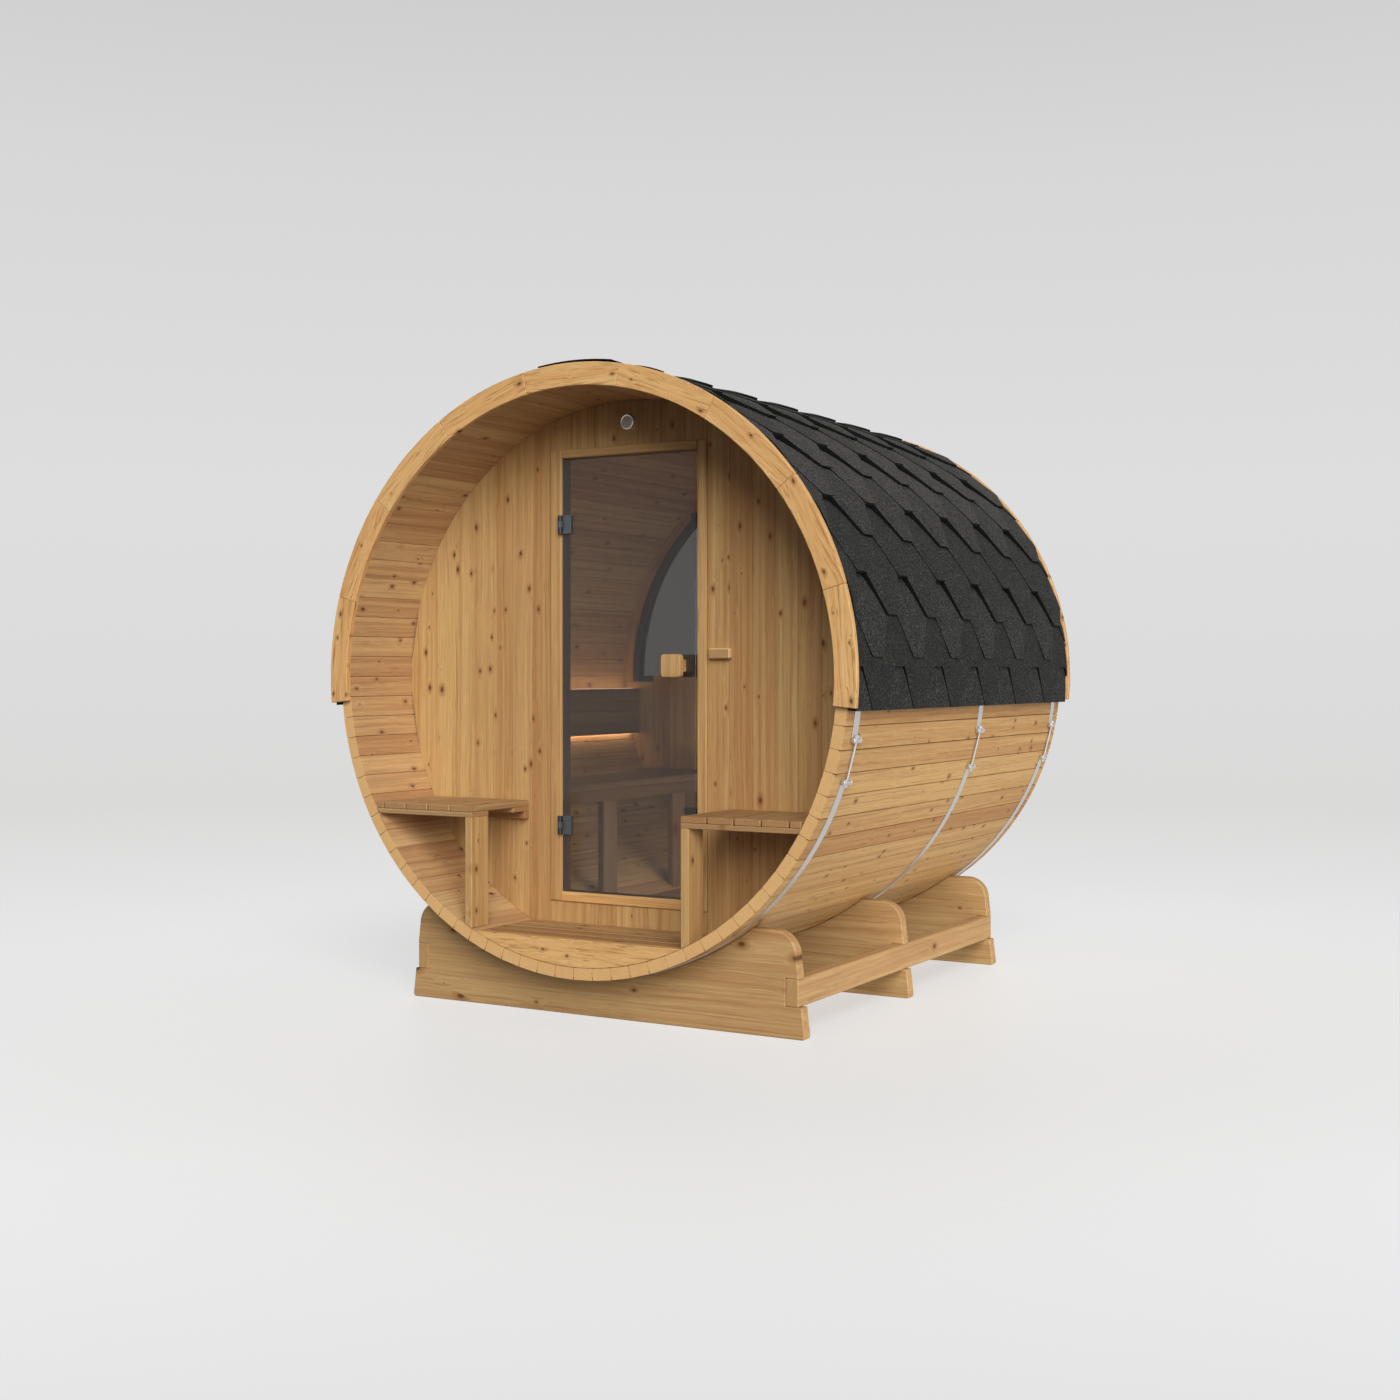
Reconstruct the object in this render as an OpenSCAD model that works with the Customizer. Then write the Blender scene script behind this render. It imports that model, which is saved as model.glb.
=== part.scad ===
// Barrel sauna: a stave barrel with steel bands on three cradles, a shingle roof,
// an open porch with two benches, a glass door and a cabin with one bench.
// The barrel's axis lies along Y and the porch faces -Y. Origin: on the ground, at mid-length.

/* [Barrel] */
// Radius of the barrel over the flat faces of its staves
barrel_r = 1045; // [990:5:1100]
// Length of the staves
barrel_len = 2064; // [1880:4:2400]
// Thickness of the staves
stave_t = 42; // [36:1:48]
// Number of staves around the barrel
stave_n = 84; // [72:6:96]
// Clearance between the ground and the lowest stave
ground_gap = 152; // [136:1:188]
// Joint between two staves
stave_joint = 0.5; // [0.3:0.1:0.9]
// Seat clearance between round pieces
seat_gap = 0.3; // [0.2:0.05:0.4]

/* [Roof] */
// Thickness of the shingle roof with its underlay
roof_t = 24; // [16:1:32]
// Angle by which the roof reaches below the axis on each side
roof_drop = 5.2; // [3:0.1:8]
// How far the roof reaches down past the trim
eave_past = 9; // [4:1:14]

/* [Trim] */
// Thickness of the trim arcs
trim_t = 21; // [16:1:30]
// How far the trim stands over the roof
trim_over = 11; // [6:1:20]
// Number of boards in each trim arc
trim_n = 9; // [7:1:11]

/* [Bands] */
// Width of a steel band
band_w = 40; // [30:1:50]
// Thickness of a steel band
band_t = 1.5; // [1:0.1:2]
// Distance of the end bands' centres from the stave ends
band_in = 79; // [52:1:95]
// Centre of the middle band behind mid-length
band_mid = 137; // [95:1:165]
// Angle of the upper lug below the axis
lug_angle = 11; // [10:0.5:13]
// Angle between the two lugs
lug_gap = 7.6; // [6:0.2:10]
// Radius of a lug
lug_r = 8; // [6:0.5:9]
// How far a lug stands out at each side of its band
lug_out = 5; // [3:0.5:8]
// Radius of the threaded rod
rod_r = 4; // [3:0.5:5]
// Length of the rod past each lug
rod_out = 12; // [8:1:20]

/* [Cradles] */
// Thickness of a cradle board
cradle_t = 46; // [38:1:56]
// Distance from the stave ends to the end cradles
cradle_in = 142; // [115:1:175]
// Half the width of a cradle at its ears, as a part of the barrel's radius
ear_part = 0.754; // [0.73:0.002:0.77]
// How much wider a cradle's foot is on each side
foot_flare = 30; // [20:1:36]
// Height of a cradle's upright foot edge
foot_edge = 18; // [12:1:24]
// Bevel of a cradle's foot
foot_bevel = 8; // [5:1:10]
// Height of the ears over the lowest stave
ear_rise = 205; // [190:1:225]
// Radius of the ears
ear_r = 84; // [64:1:94]
// Width of a runner
runner_w = 48; // [40:1:54]
// Height of a runner
runner_h = 94; // [84:1:100]
// Height of a runner's underside
runner_z = 106; // [95:1:112]
// How far a runner stands out at the ears' width
runner_out = 8; // [6:1:12]

/* [Walls] */
// Depth of the porch, from the stave ends to the front wall
porch_depth = 355; // [335:1:395]
// Thickness of the end walls
wall_t = 42; // [36:1:48]
// Distance of the rear wall from the rear stave ends
rear_recess = 108; // [90:1:150]
// Clearance between the inner pieces and the staves
wall_gap = 0.5; // [0.3:0.1:0.8]
// Radius of the lamp over the door
lamp_r = 28; // [22:1:32]
// How far the lamp stands out
lamp_out = 12; // [8:1:16]

/* [Floor and benches] */
// Height of the floor over the lowest point inside
floor_rise = 95; // [88:1:105]
// Thickness of boards
board_t = 28; // [22:1:32]
// Gap between slats
slat_gap = 5; // [4:0.5:8]
// Setback of the porch's pieces from the stave ends
porch_in = 3; // [2:0.5:6]
// Clearance between the door frame and the benches
bench_gap = 104; // [90:1:120]
// Middle of the space between the benches
bench_x = -7; // [-12:1:4]
// Distance from one seat slat to the next
slat_pitch = 102; // [92:1:116]
// Height of the porch benches over the floor
seat_h = 445; // [430:1:465]
// Thickness of the porch benches' slats
slat_t = 23; // [18:1:24]
// Thickness of the boards under the slats
bearer_t = 18; // [14:1:20]
// Height of the cabin's bench over the floor
inner_seat_h = 482; // [465:1:500]
// Height of the cabin bench's rail
rail_h = 47; // [38:1:52]
// Width of a bench post, a leg and a bearer
post_d = 100; // [84:1:114]
// Thickness of a porch bench's post
post_t = 31; // [24:1:36]

/* [Backrest] */
// Height of a backrest board
back_w = 100; // [88:1:110]
// Gap between the two backrest boards
back_gap = 6; // [5:0.5:9]
// Gap between the cabin's bench and the backrest
back_rise = 161; // [136:1:188]
// Clearance between the backrest and the staves at its lower edge
back_off = 21; // [14:1:26]
// Width of a backrest block
block_w = 40; // [32:1:48]
// Width of a light strip
led_w = 10; // [8:1:12]
// Thickness of a light strip
led_t = 8; // [6:1:9]

/* [Door] */
// Middle of the doorway
door_x = 0; // [-14:1:12]
// Clear width of the doorway
door_w = 581; // [560:1:600]
// Height of the sill's top over the floor
sill_rise = 113; // [98:1:128]
// Gap between the door frame's top and the barrel's inside
head_gap = 163; // [142:1:180]
// Width of the jamb beside the knob
jamb_w = 39; // [34:1:46]
// Width of the jamb that carries the hinges
hinge_jamb_w = 48; // [42:1:56]
// Height of the head
head_w = 32; // [26:1:42]
// Height of the sill
sill_w = 36; // [28:1:48]
// Depth of the door frame
frame_d = 62; // [56:1:72]
// How far the frame stands out of the wall
frame_out = 8; // [6:1:12]
// Depth of the glass behind the frame's face
glass_in = 2; // [1:0.5:5]
// Thickness of the glass
glass_t = 8; // [6:1:10]
// Gap around the glass
glass_gap = 6; // [6:0.5:8]
// Depth of a door catch
catch_d = 16; // [12:1:20]
// Half the height of a hinge
hinge_h = 34; // [28:1:38]
// Thickness of a hinge plate
plate_t = 3; // [2:0.5:4]
// Distance of the hinge axis from the glass edge
hinge_off = 2; // [1:0.5:3]
// Radius of a hinge knuckle
knuckle_r = 9; // [8:0.5:10]
// Radius of a hinge pin
pin_r = 4; // [3:0.5:5]
// Running clearance of a hinge pin
pin_play = 0.05; // [0.02:0.01:0.09]
// Width of a hinge leaf on the glass
leaf_w = 38; // [30:1:42]
// Thickness of a hinge leaf on the glass
leaf_t = 11; // [9:1:13]
// Side of the square knob
knob_w = 82; // [74:1:90]
// Thickness of the knob
knob_t = 27; // [20:1:32]
// Side of the knob's neck
neck_w = 44; // [36:1:52]
// Length of the knob's neck
neck_l = 51; // [40:1:56]
// Distance of the knob's middle from the glass edge
knob_in = 59; // [50:1:72]
// Height of the knob over the floor
knob_h = 947; // [920:1:980]
// Width of the wooden block on the wall
peg_w = 84; // [70:1:96]
// Height of the block
peg_h = 36; // [28:1:44]
// How far the block stands out
peg_out = 24; // [18:1:32]
// Distance of the block from the door frame
peg_gap = 17; // [10:1:26]

/* [Window] */
// Width of the wall between the window frame and the staves
arch_w = 42; // [34:1:60]
// Width of the window frame
win_w = 28; // [22:1:34]
// How far the window frame stands out of the wall on each side
win_out = 2; // [1:0.5:5]

/* [Hidden] */
$fn = 96;
in_r = barrel_r - stave_t;
fit_r = in_r - wall_gap;
axis_z = barrel_r + ground_gap;
y0 = -barrel_len / 2;
y1 = barrel_len / 2;
step = 360 / stave_n;
corner_r = barrel_r / cos(step / 2);
band_r = corner_r + seat_gap;
roof_r = band_r + band_t + seat_gap;
roof_o = roof_r + roof_t;
trim_i = in_r;
trim_w = roof_o + trim_over - trim_i;
roof_a = 180 + 2 * roof_drop;
eave_a = roof_drop + eave_past / roof_r * 57.3;
lug_at = band_r + band_t + lug_r + seat_gap;
ear_w = barrel_r * ear_part;
foot_w = ear_w + foot_flare;
ear_z = ground_gap + ear_rise;
wall_y = y0 + porch_depth;
back_y = y1 - rear_recess;
in_y0 = wall_y + wall_t;
in_y1 = back_y - wall_t;
in_len = in_y1 - in_y0;
floor_z = axis_z - in_r + floor_rise;
bench_z = floor_z + seat_h;
inner_z = floor_z + inner_seat_h;
sill_z = floor_z + sill_rise;
frame_zt = axis_z + in_r - head_gap;
head_z = frame_zt - head_w;
door_h = head_z - sill_z;
frame_zb = sill_z - sill_w;
frame_y = wall_y - frame_out;
glass_y = frame_y + glass_in;
frame_xl = door_x - door_w / 2 - hinge_jamb_w;
frame_xr = door_x + door_w / 2 + jamb_w;
bench_in = door_w / 2 + jamb_w + bench_gap;
glass_w = door_w - 2 * glass_gap;
glass_h = door_h - 2 * glass_gap;
glass_xl = door_x - glass_w / 2;
glass_z = sill_z + glass_gap;
hinge_x = glass_xl - hinge_off;
hinge_y = frame_y - plate_t - knuckle_r + 1;
hinge_z = [glass_z + glass_h * 0.151, glass_z + glass_h * 0.849];
knuckle_h = hinge_h * 2 / 3 - seat_gap;
knob_x = glass_xl + glass_w - knob_in;
knob_z = floor_z + knob_h;
catch_z = [sill_z + door_h * 0.19, sill_z + door_h * 0.835];
catch_w = [62, 32];
catch_h = [25, 40];
leg_y = [in_y0, in_y0 + in_len * 0.31, in_y0 + in_len * 0.667, in_y1 - post_d];
back_z = [inner_z + back_rise, inner_z + back_rise + back_w + back_gap];
pane_r = fit_r - arch_w - win_w - seat_gap;
slats = 4;
cradle_y = [y0 + cradle_in, -cradle_t / 2, y1 - cradle_in - cradle_t];
band_y = [y0 + band_in, band_mid, y1 - band_in];

function bench_at(s) = bench_in + s * bench_x;
function half_w(z) = sqrt(fit_r * fit_r - (z - axis_z) * (z - axis_z));
back_x = half_w(back_z[0]) - back_off - board_t;

// A flat shape in the plane across the barrel, pulled from y to y + len.
module across(y, len) {
  translate([0, y + len, axis_z]) rotate([90, 0, 0]) linear_extrude(len) children();
}

// A ring or part of one about the barrel's axis, from y to y + len.
module ring(r, t, y, len, a, span) {
  translate([0, y + len, axis_z]) rotate([90, 0, 0]) rotate([0, 0, a])
    rotate_extrude(angle = span, $fn = 180) translate([r, 0]) square([t, len]);
}

// What it holds, cut to the round of the barrel's inside.
module inside() {
  intersection() {
    children();
    translate([0, y1, axis_z]) rotate([90, 0, 0]) cylinder(r = fit_r, h = barrel_len, $fn = 180);
  }
}

module box(x0, x1, ya, yb, z0, z1) {
  translate([x0, ya, z0]) cube([x1 - x0, yb - ya, z1 - z0]);
}

module stave_group(g) {
  n = stave_n / 6;
  color([0.78, 0.58, 0.36])
    for (k = [0 : n - 1])
      across(y0, barrel_len)
        rotate(-120 + 60 * g + (k + 0.5) * step)
          polygon([
            [in_r, -(in_r * tan(step / 2) - stave_joint / 2)],
            [barrel_r, -(barrel_r * tan(step / 2) - stave_joint / 2)],
            [barrel_r, barrel_r * tan(step / 2) - stave_joint / 2],
            [in_r, in_r * tan(step / 2) - stave_joint / 2]]);
}

module staves_bottom() { stave_group(0); }
module staves_lower_right() { stave_group(1); }
module staves_upper_right() { stave_group(2); }
module staves_top() { stave_group(3); }
module staves_upper_left() { stave_group(4); }
module staves_lower_left() { stave_group(5); }

module roof() {
  color([0.12, 0.12, 0.13])
    ring(roof_r, roof_t, y0 + seat_gap, barrel_len - 2 * seat_gap, -eave_a, 180 + 2 * eave_a);
}

module trim_arc(y) {
  seg = roof_a / trim_n;
  slit = stave_joint / trim_i * 57.3;
  color([0.82, 0.63, 0.41])
    for (i = [0 : trim_n - 1])
      ring(trim_i, trim_w, y, trim_t, -roof_drop + i * seg + slit / 2, seg - slit);
}

module front_trim() { trim_arc(y0 - trim_t); }
module rear_trim() { trim_arc(y1); }

module bands() {
  color([0.8, 0.8, 0.81])
    for (y = band_y)
      ring(band_r, band_t, y - band_w / 2, band_w, -lug_angle - 0.6, 360 - lug_gap + 1.2);
}

module tensioners() {
  color([0.7, 0.7, 0.71])
    for (y = band_y)
      translate([0, y, axis_z]) {
        for (a = [-lug_angle, -lug_angle - lug_gap])
          rotate([0, -a, 0]) translate([lug_at, 0, 0]) rotate([90, 0, 0])
            cylinder(r = lug_r, h = band_w + 2 * lug_out, center = true, $fn = 32);
        rotate([0, lug_angle + lug_gap / 2, 0]) translate([lug_at * cos(lug_gap / 2), 0, 0])
          cylinder(r = rod_r, h = 2 * lug_at * sin(lug_gap / 2) + 2 * lug_r + 2 * rod_out, center = true, $fn = 24);
      }
}

module cradle(y) {
  difference() {
    union() {
      for (s = [-1, 1]) {
        translate([s * (ear_w - ear_r), y + cradle_t, ear_z - ear_r]) rotate([90, 0, 0])
          cylinder(r = ear_r, h = cradle_t, $fn = 64);
        translate([0, y + cradle_t, 0]) rotate([90, 0, 0]) linear_extrude(cradle_t)
          polygon([[0, 0], [s * (foot_w - foot_bevel), 0], [s * foot_w, foot_bevel], [s * foot_w, foot_edge],
            [s * ear_w, ear_z - ear_r], [s * (ear_w - ear_r), ear_z - ear_r],
            [s * (ear_w - ear_r), ear_z], [0, ear_z]]);
      }
    }
    translate([0, y + cradle_t + 1, axis_z]) rotate([90, 0, 0])
      cylinder(r = corner_r + seat_gap, h = cradle_t + 2, $fn = 180);
    for (s = [-1, 1])
      translate([s > 0 ? ear_w + runner_out - runner_w : -2 * foot_w, y - 1, runner_z])
        cube([2 * foot_w - ear_w - runner_out + runner_w, cradle_t + 2, runner_h]);
  }
}

module cradles() {
  color([0.76, 0.56, 0.35]) for (y = cradle_y) cradle(y);
}

module runners() {
  color([0.76, 0.56, 0.35])
    for (s = [-1, 1])
      translate([s > 0 ? ear_w + runner_out - runner_w : -ear_w - runner_out, y0 + cradle_in, runner_z])
        cube([runner_w, barrel_len - 2 * cradle_in, runner_h]);
}

module wall_left() {
  color([0.8, 0.6, 0.38]) inside() box(-barrel_r, frame_xl, wall_y, in_y0, 0, 2 * axis_z);
}

module wall_right() {
  color([0.8, 0.6, 0.38]) inside() box(frame_xr, barrel_r, wall_y, in_y0, 0, 2 * axis_z);
}

module wall_head() {
  color([0.8, 0.6, 0.38]) inside() box(frame_xl, frame_xr, wall_y, in_y0, frame_zt, 2 * axis_z);
}

module wall_base() {
  color([0.8, 0.6, 0.38]) inside() box(frame_xl, frame_xr, wall_y, in_y0, 0, frame_zb);
}

module frame_jambs() {
  color([0.83, 0.64, 0.42]) {
    box(frame_xl, frame_xl + hinge_jamb_w, frame_y, frame_y + frame_d, frame_zb, frame_zt);
    box(frame_xr - jamb_w, frame_xr, frame_y, frame_y + frame_d, frame_zb, frame_zt);
  }
}

module frame_head() {
  color([0.83, 0.64, 0.42]) box(frame_xl + hinge_jamb_w, frame_xr - jamb_w, frame_y, frame_y + frame_d, head_z, frame_zt);
}

module frame_sill() {
  color([0.83, 0.64, 0.42]) box(frame_xl + hinge_jamb_w, frame_xr - jamb_w, frame_y, frame_y + frame_d, frame_zb, sill_z);
}

module hinge_plates() {
  color([0.2, 0.2, 0.21])
    for (z = hinge_z) {
      box(hinge_x - knuckle_r - plate_t, hinge_x - knuckle_r / 2, frame_y - plate_t, frame_y, z - hinge_h, z + hinge_h);
      for (k = [-1, 1]) {
        translate([hinge_x, hinge_y, z + k * (hinge_h - knuckle_h / 2)])
          cylinder(r = knuckle_r, h = knuckle_h, center = true, $fn = 32);
        box(hinge_x - knuckle_r + 1, hinge_x, hinge_y, frame_y - plate_t / 4,
          z + (k > 0 ? hinge_h - knuckle_h : -hinge_h), z + (k > 0 ? hinge_h : knuckle_h - hinge_h));
      }
      translate([hinge_x, hinge_y, z]) cylinder(r = pin_r, h = 2 * hinge_h, center = true, $fn = 32);
    }
}

module door_catches() {
  x = frame_xr - jamb_w;
  y = glass_y + glass_t + seat_gap * 10;
  color([0.1, 0.1, 0.1])
    for (i = [0, 1]) box(x - catch_w[i], x, y, y + catch_d, catch_z[i], catch_z[i] + catch_h[i]);
}

module wall_lamp() {
  color([0.9, 0.9, 0.88])
    translate([door_x, wall_y, frame_zt + head_gap * 0.51]) rotate([90, 0, 0]) cylinder(r = lamp_r, h = lamp_out, $fn = 48);
}

module wall_peg() {
  color([0.82, 0.62, 0.4]) box(frame_xr + peg_gap, frame_xr + peg_gap + peg_w, wall_y - peg_out, wall_y, knob_z + peg_h * 0.7, knob_z + peg_h * 1.7);
}

module porch_deck() {
  y = y0 + porch_in + board_t;
  w = (wall_y - y - (slats - 1) * slat_gap) / slats;
  color([0.8, 0.6, 0.38])
    for (i = [0 : slats - 1])
      inside() box(-barrel_r, barrel_r, y + i * (w + slat_gap), y + i * (w + slat_gap) + w, floor_z - board_t, floor_z);
}

module deck_fascia() {
  color([0.8, 0.6, 0.38])
    inside() box(-barrel_r, barrel_r, y0 + porch_in, y0 + porch_in + board_t, 0, floor_z);
}

module seat_slats(s, za, zb, ya, yb) {
  n = ceil((half_w(za) - bench_at(s) - 3 * slat_gap) / slat_pitch);
  for (i = [0 : n - 1]) {
    xa = bench_at(s) + i * slat_pitch;
    xb = i == n - 1 ? barrel_r : xa + slat_pitch - slat_gap;
    inside() box(s > 0 ? xa : -xb, s > 0 ? xb : -xa, ya, yb, za, zb);
  }
}

module bench_seats() {
  color([0.82, 0.62, 0.4])
    for (s = [-1, 1]) seat_slats(s, bench_z - slat_t, bench_z, y0 + porch_in, wall_y);
}

module bench_bearers() {
  z = bench_z - slat_t;
  color([0.82, 0.62, 0.4])
    for (s = [-1, 1], y = [y0 + porch_in, wall_y - post_d])
      inside() box(s > 0 ? bench_at(s) : -barrel_r, s > 0 ? barrel_r : -bench_at(s), y, y + post_d, z - bearer_t, z);
}

module bench_posts() {
  color([0.82, 0.62, 0.4])
    for (s = [-1, 1])
      inside() box(s > 0 ? bench_at(s) : -bench_at(s) - post_t, s > 0 ? bench_at(s) + post_t : -bench_at(s), y0 + porch_in, y0 + porch_in + post_d, floor_z, bench_z - slat_t - bearer_t);
}

module bench_cleats() {
  z = bench_z - slat_t - bearer_t;
  color([0.82, 0.62, 0.4])
    for (s = [-1, 1])
      inside() box(s > 0 ? bench_at(s) : -barrel_r, s > 0 ? barrel_r : -bench_at(s), wall_y - board_t, wall_y, z - board_t, z);
}

module rear_wall() {
  x = pane_r - 2 * seat_gap;
  color([0.8, 0.6, 0.38]) {
    inside() box(-barrel_r, barrel_r, in_y1, back_y, 0, axis_z - win_w);
    box(-x, x, in_y1, in_y1 + wall_t / 2, axis_z - win_w - 1, axis_z - seat_gap);
  }
}

// Half a ring about the axis, in boards, reaching down past the axis by win_w.
module half_ring(r, ro, ya, yb, n) {
  seg = 180 / n;
  slit = stave_joint / r * 57.3;
  low = 4;
  for (i = [0 : n - 1]) {
    a = i * seg - (i == 0 ? low : 0) + slit / 2;
    b = (i + 1) * seg + (i == n - 1 ? low : 0) - slit / 2;
    intersection() {
      ring(r, ro - r, ya, yb - ya, a, b - a);
      box(-barrel_r, barrel_r, ya - 1, yb + 1, axis_z - win_w, 2 * axis_z + barrel_r);
    }
  }
}

module rear_arch() {
  color([0.8, 0.6, 0.38]) half_ring(pane_r + win_w + seat_gap, fit_r, in_y1, back_y, 12);
}

module window_frame() {
  color([0.35, 0.3, 0.26]) {
    half_ring(pane_r + seat_gap, pane_r + win_w, in_y1 - win_out, back_y + win_out, 12);
    box(-pane_r + 2 * seat_gap, pane_r - 2 * seat_gap, in_y1 + wall_t / 2, back_y + win_out, axis_z - win_w, axis_z - seat_gap);
  }
}

module window_glass() {
  color([0.55, 0.62, 0.66, 0.4])
    intersection() {
      translate([0, (in_y1 + back_y) / 2 + glass_t / 2, axis_z]) rotate([90, 0, 0]) cylinder(r = pane_r, h = glass_t, $fn = 180);
      box(-barrel_r, barrel_r, in_y1, back_y, axis_z, 2 * axis_z);
    }
}

module inner_floor() {
  color([0.8, 0.6, 0.38]) inside() box(-barrel_r, barrel_r, in_y0, in_y1, floor_z - board_t, floor_z);
}

module inner_bench_seat() {
  color([0.82, 0.62, 0.4]) seat_slats(-1, inner_z - board_t, inner_z, in_y0, in_y1);
}

module inner_bench_frame() {
  x = -bench_at(-1);
  color([0.82, 0.62, 0.4]) {
    box(x - board_t, x, in_y0, in_y1, inner_z - board_t - rail_h, inner_z - board_t);
    for (y = leg_y)
      inside() box(-barrel_r, x - board_t + 1, y + post_d / 4, y + post_d * 3 / 4, inner_z - board_t - rail_h, inner_z - board_t);
  }
}

module inner_bench_legs() {
  x = -bench_at(-1);
  color([0.82, 0.62, 0.4])
    for (y = leg_y)
      inside() box(x - board_t, x, y, y + post_d, floor_z, inner_z - board_t - rail_h);
}

module backrest() {
  color([0.8, 0.6, 0.38])
    for (z = back_z) box(-back_x - board_t, -back_x, in_y0 + led_w, in_y1 - led_w, z, z + back_w);
}

module backrest_blocks() {
  color([0.8, 0.6, 0.38])
    for (k = [0.1, 0.5, 0.9])
      inside() box(-barrel_r, -back_x - board_t, in_y0 + in_len * k - block_w / 2, in_y0 + in_len * k + block_w / 2, back_z[1] - back_w / 3, back_z[1] + back_w / 3);
}

module led_strips() {
  color([1, 0.85, 0.6])
    for (z = [back_z[0], back_z[1] + back_w - led_w])
      box(-back_x - board_t - led_t, -back_x - board_t, in_y0 + 2 * led_w, in_y1 - 2 * led_w, z, z + led_w);
}

module door_glass() {
  color([0.3, 0.26, 0.23, 0.5]) box(glass_xl, glass_xl + glass_w, glass_y, glass_y + glass_t, glass_z, glass_z + glass_h);
}

module door_knobs() {
  color([0.84, 0.65, 0.43])
    for (s = [-1, 1])
      translate([knob_x, s < 0 ? glass_y : glass_y + glass_t, knob_z]) {
        translate([-neck_w / 2, s < 0 ? -neck_l - 1 : 0, -neck_w / 2]) cube([neck_w, neck_l + 1, neck_w]);
        translate([-knob_w / 2, s < 0 ? -neck_l - knob_t : neck_l, -knob_w / 2]) cube([knob_w, knob_t, knob_w]);
      }
}

module hinge_leaves() {
  h = 2 * (hinge_h - knuckle_h - seat_gap);
  x = hinge_x + knuckle_r + 1;
  color([0.2, 0.2, 0.21])
    for (z = hinge_z)
      difference() {
        union() {
          translate([hinge_x, hinge_y, z]) cylinder(r = knuckle_r, h = h, center = true, $fn = 32);
          box(hinge_x, x + pin_r, hinge_y - knuckle_r + 1, hinge_y + knuckle_r - 1, z - h / 2, z + h / 2);
          box(x, x + leaf_w, glass_y - leaf_t, glass_y, z - hinge_h, z + hinge_h);
        }
        translate([hinge_x, hinge_y, z]) cylinder(r = pin_r + pin_play, h = 2 * hinge_h, center = true, $fn = 32);
      }
}

staves_bottom();
staves_lower_right();
staves_upper_right();
staves_top();
staves_upper_left();
staves_lower_left();
roof();
front_trim();
rear_trim();
bands();
tensioners();
cradles();
runners();
wall_left();
wall_right();
wall_head();
wall_base();
frame_jambs();
frame_head();
frame_sill();
hinge_plates();
door_catches();
wall_lamp();
wall_peg();
porch_deck();
deck_fascia();
bench_seats();
bench_bearers();
bench_posts();
bench_cleats();
rear_wall();
rear_arch();
window_frame();
window_glass();
inner_floor();
inner_bench_seat();
inner_bench_frame();
inner_bench_legs();
backrest();
backrest_blocks();
led_strips();
door_glass();
door_knobs();
hinge_leaves();
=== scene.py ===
"""Looks of the barrel sauna: every board, shingle, band and fitting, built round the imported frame.

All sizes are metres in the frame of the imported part: X across the front, Y from the porch to the
rear, Z up from the ground. The barrel's axis runs along Y at height AXIS_Z.
"""

from __future__ import annotations

import logging
import math
from dataclasses import dataclass, field
from enum import Enum
from typing import Any, Callable, Sequence

import bpy
import numpy as np
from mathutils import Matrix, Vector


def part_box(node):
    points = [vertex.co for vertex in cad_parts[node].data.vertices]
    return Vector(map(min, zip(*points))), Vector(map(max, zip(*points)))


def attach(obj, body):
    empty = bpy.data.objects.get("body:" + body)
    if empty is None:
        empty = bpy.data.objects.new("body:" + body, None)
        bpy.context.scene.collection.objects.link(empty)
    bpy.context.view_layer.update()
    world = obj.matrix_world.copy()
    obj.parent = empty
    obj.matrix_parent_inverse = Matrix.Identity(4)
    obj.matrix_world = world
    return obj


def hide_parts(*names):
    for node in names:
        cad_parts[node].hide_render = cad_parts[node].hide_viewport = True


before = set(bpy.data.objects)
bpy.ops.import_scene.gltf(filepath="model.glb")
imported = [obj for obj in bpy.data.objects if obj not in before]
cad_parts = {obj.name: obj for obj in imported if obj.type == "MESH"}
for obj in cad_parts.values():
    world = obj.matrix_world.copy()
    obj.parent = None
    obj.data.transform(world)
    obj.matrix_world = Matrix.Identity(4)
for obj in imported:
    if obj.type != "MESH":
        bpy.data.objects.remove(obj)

log = logging.getLogger("barrel_sauna")

BARREL_R = 1.045
BARREL_LEN = 2.064
STAVE_T = 0.042
AXIS_Z = 1.197
FIT_GAP = 0.0005
IN_R = BARREL_R - STAVE_T
FIT_R = IN_R - FIT_GAP
Y0 = -BARREL_LEN / 2
Y1 = BARREL_LEN / 2
PORCH_D = 0.355
WALL_T = 0.042
REAR_D = 0.108
WALL_Y = Y0 + PORCH_D
IN_Y0 = WALL_Y + WALL_T
BACK_Y = Y1 - REAR_D
IN_Y1 = BACK_Y - WALL_T
FLOOR_Z = 0.289
BENCH_Z = 0.734
INNER_Z = 0.771
BENCH_IN = {-1: 0.4405, 1: 0.4265}
SLAT_PITCH = 0.102
FRAME_XL = -0.3385
FRAME_XR = 0.3295
FRAME_ZB = 0.366
FRAME_ZT = 2.037
FRAME_OUT = 0.008
FRAME_Y = WALL_Y - FRAME_OUT
BOARD = 0.028
HALF_SLIT = 0.0004
WALL_CUT = 0.0009
WALL_PITCH = 0.0895
LEFT_JAMB = 0.048
RIGHT_JAMB = 0.039
SMALL_EDGE = 0.002
EDGE = 0.0025
WIDE_EDGE = 0.003
BROAD_EDGE = 0.004
END_EASE = 0.9
HAIR = 0.001
LEAST_SLAT = 0.015

Ends = Callable[[np.ndarray], np.ndarray]


class Axis(Enum):
    """The direction a board's length and grain run in."""

    X = 0
    Y = 1
    Z = 2


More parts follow.
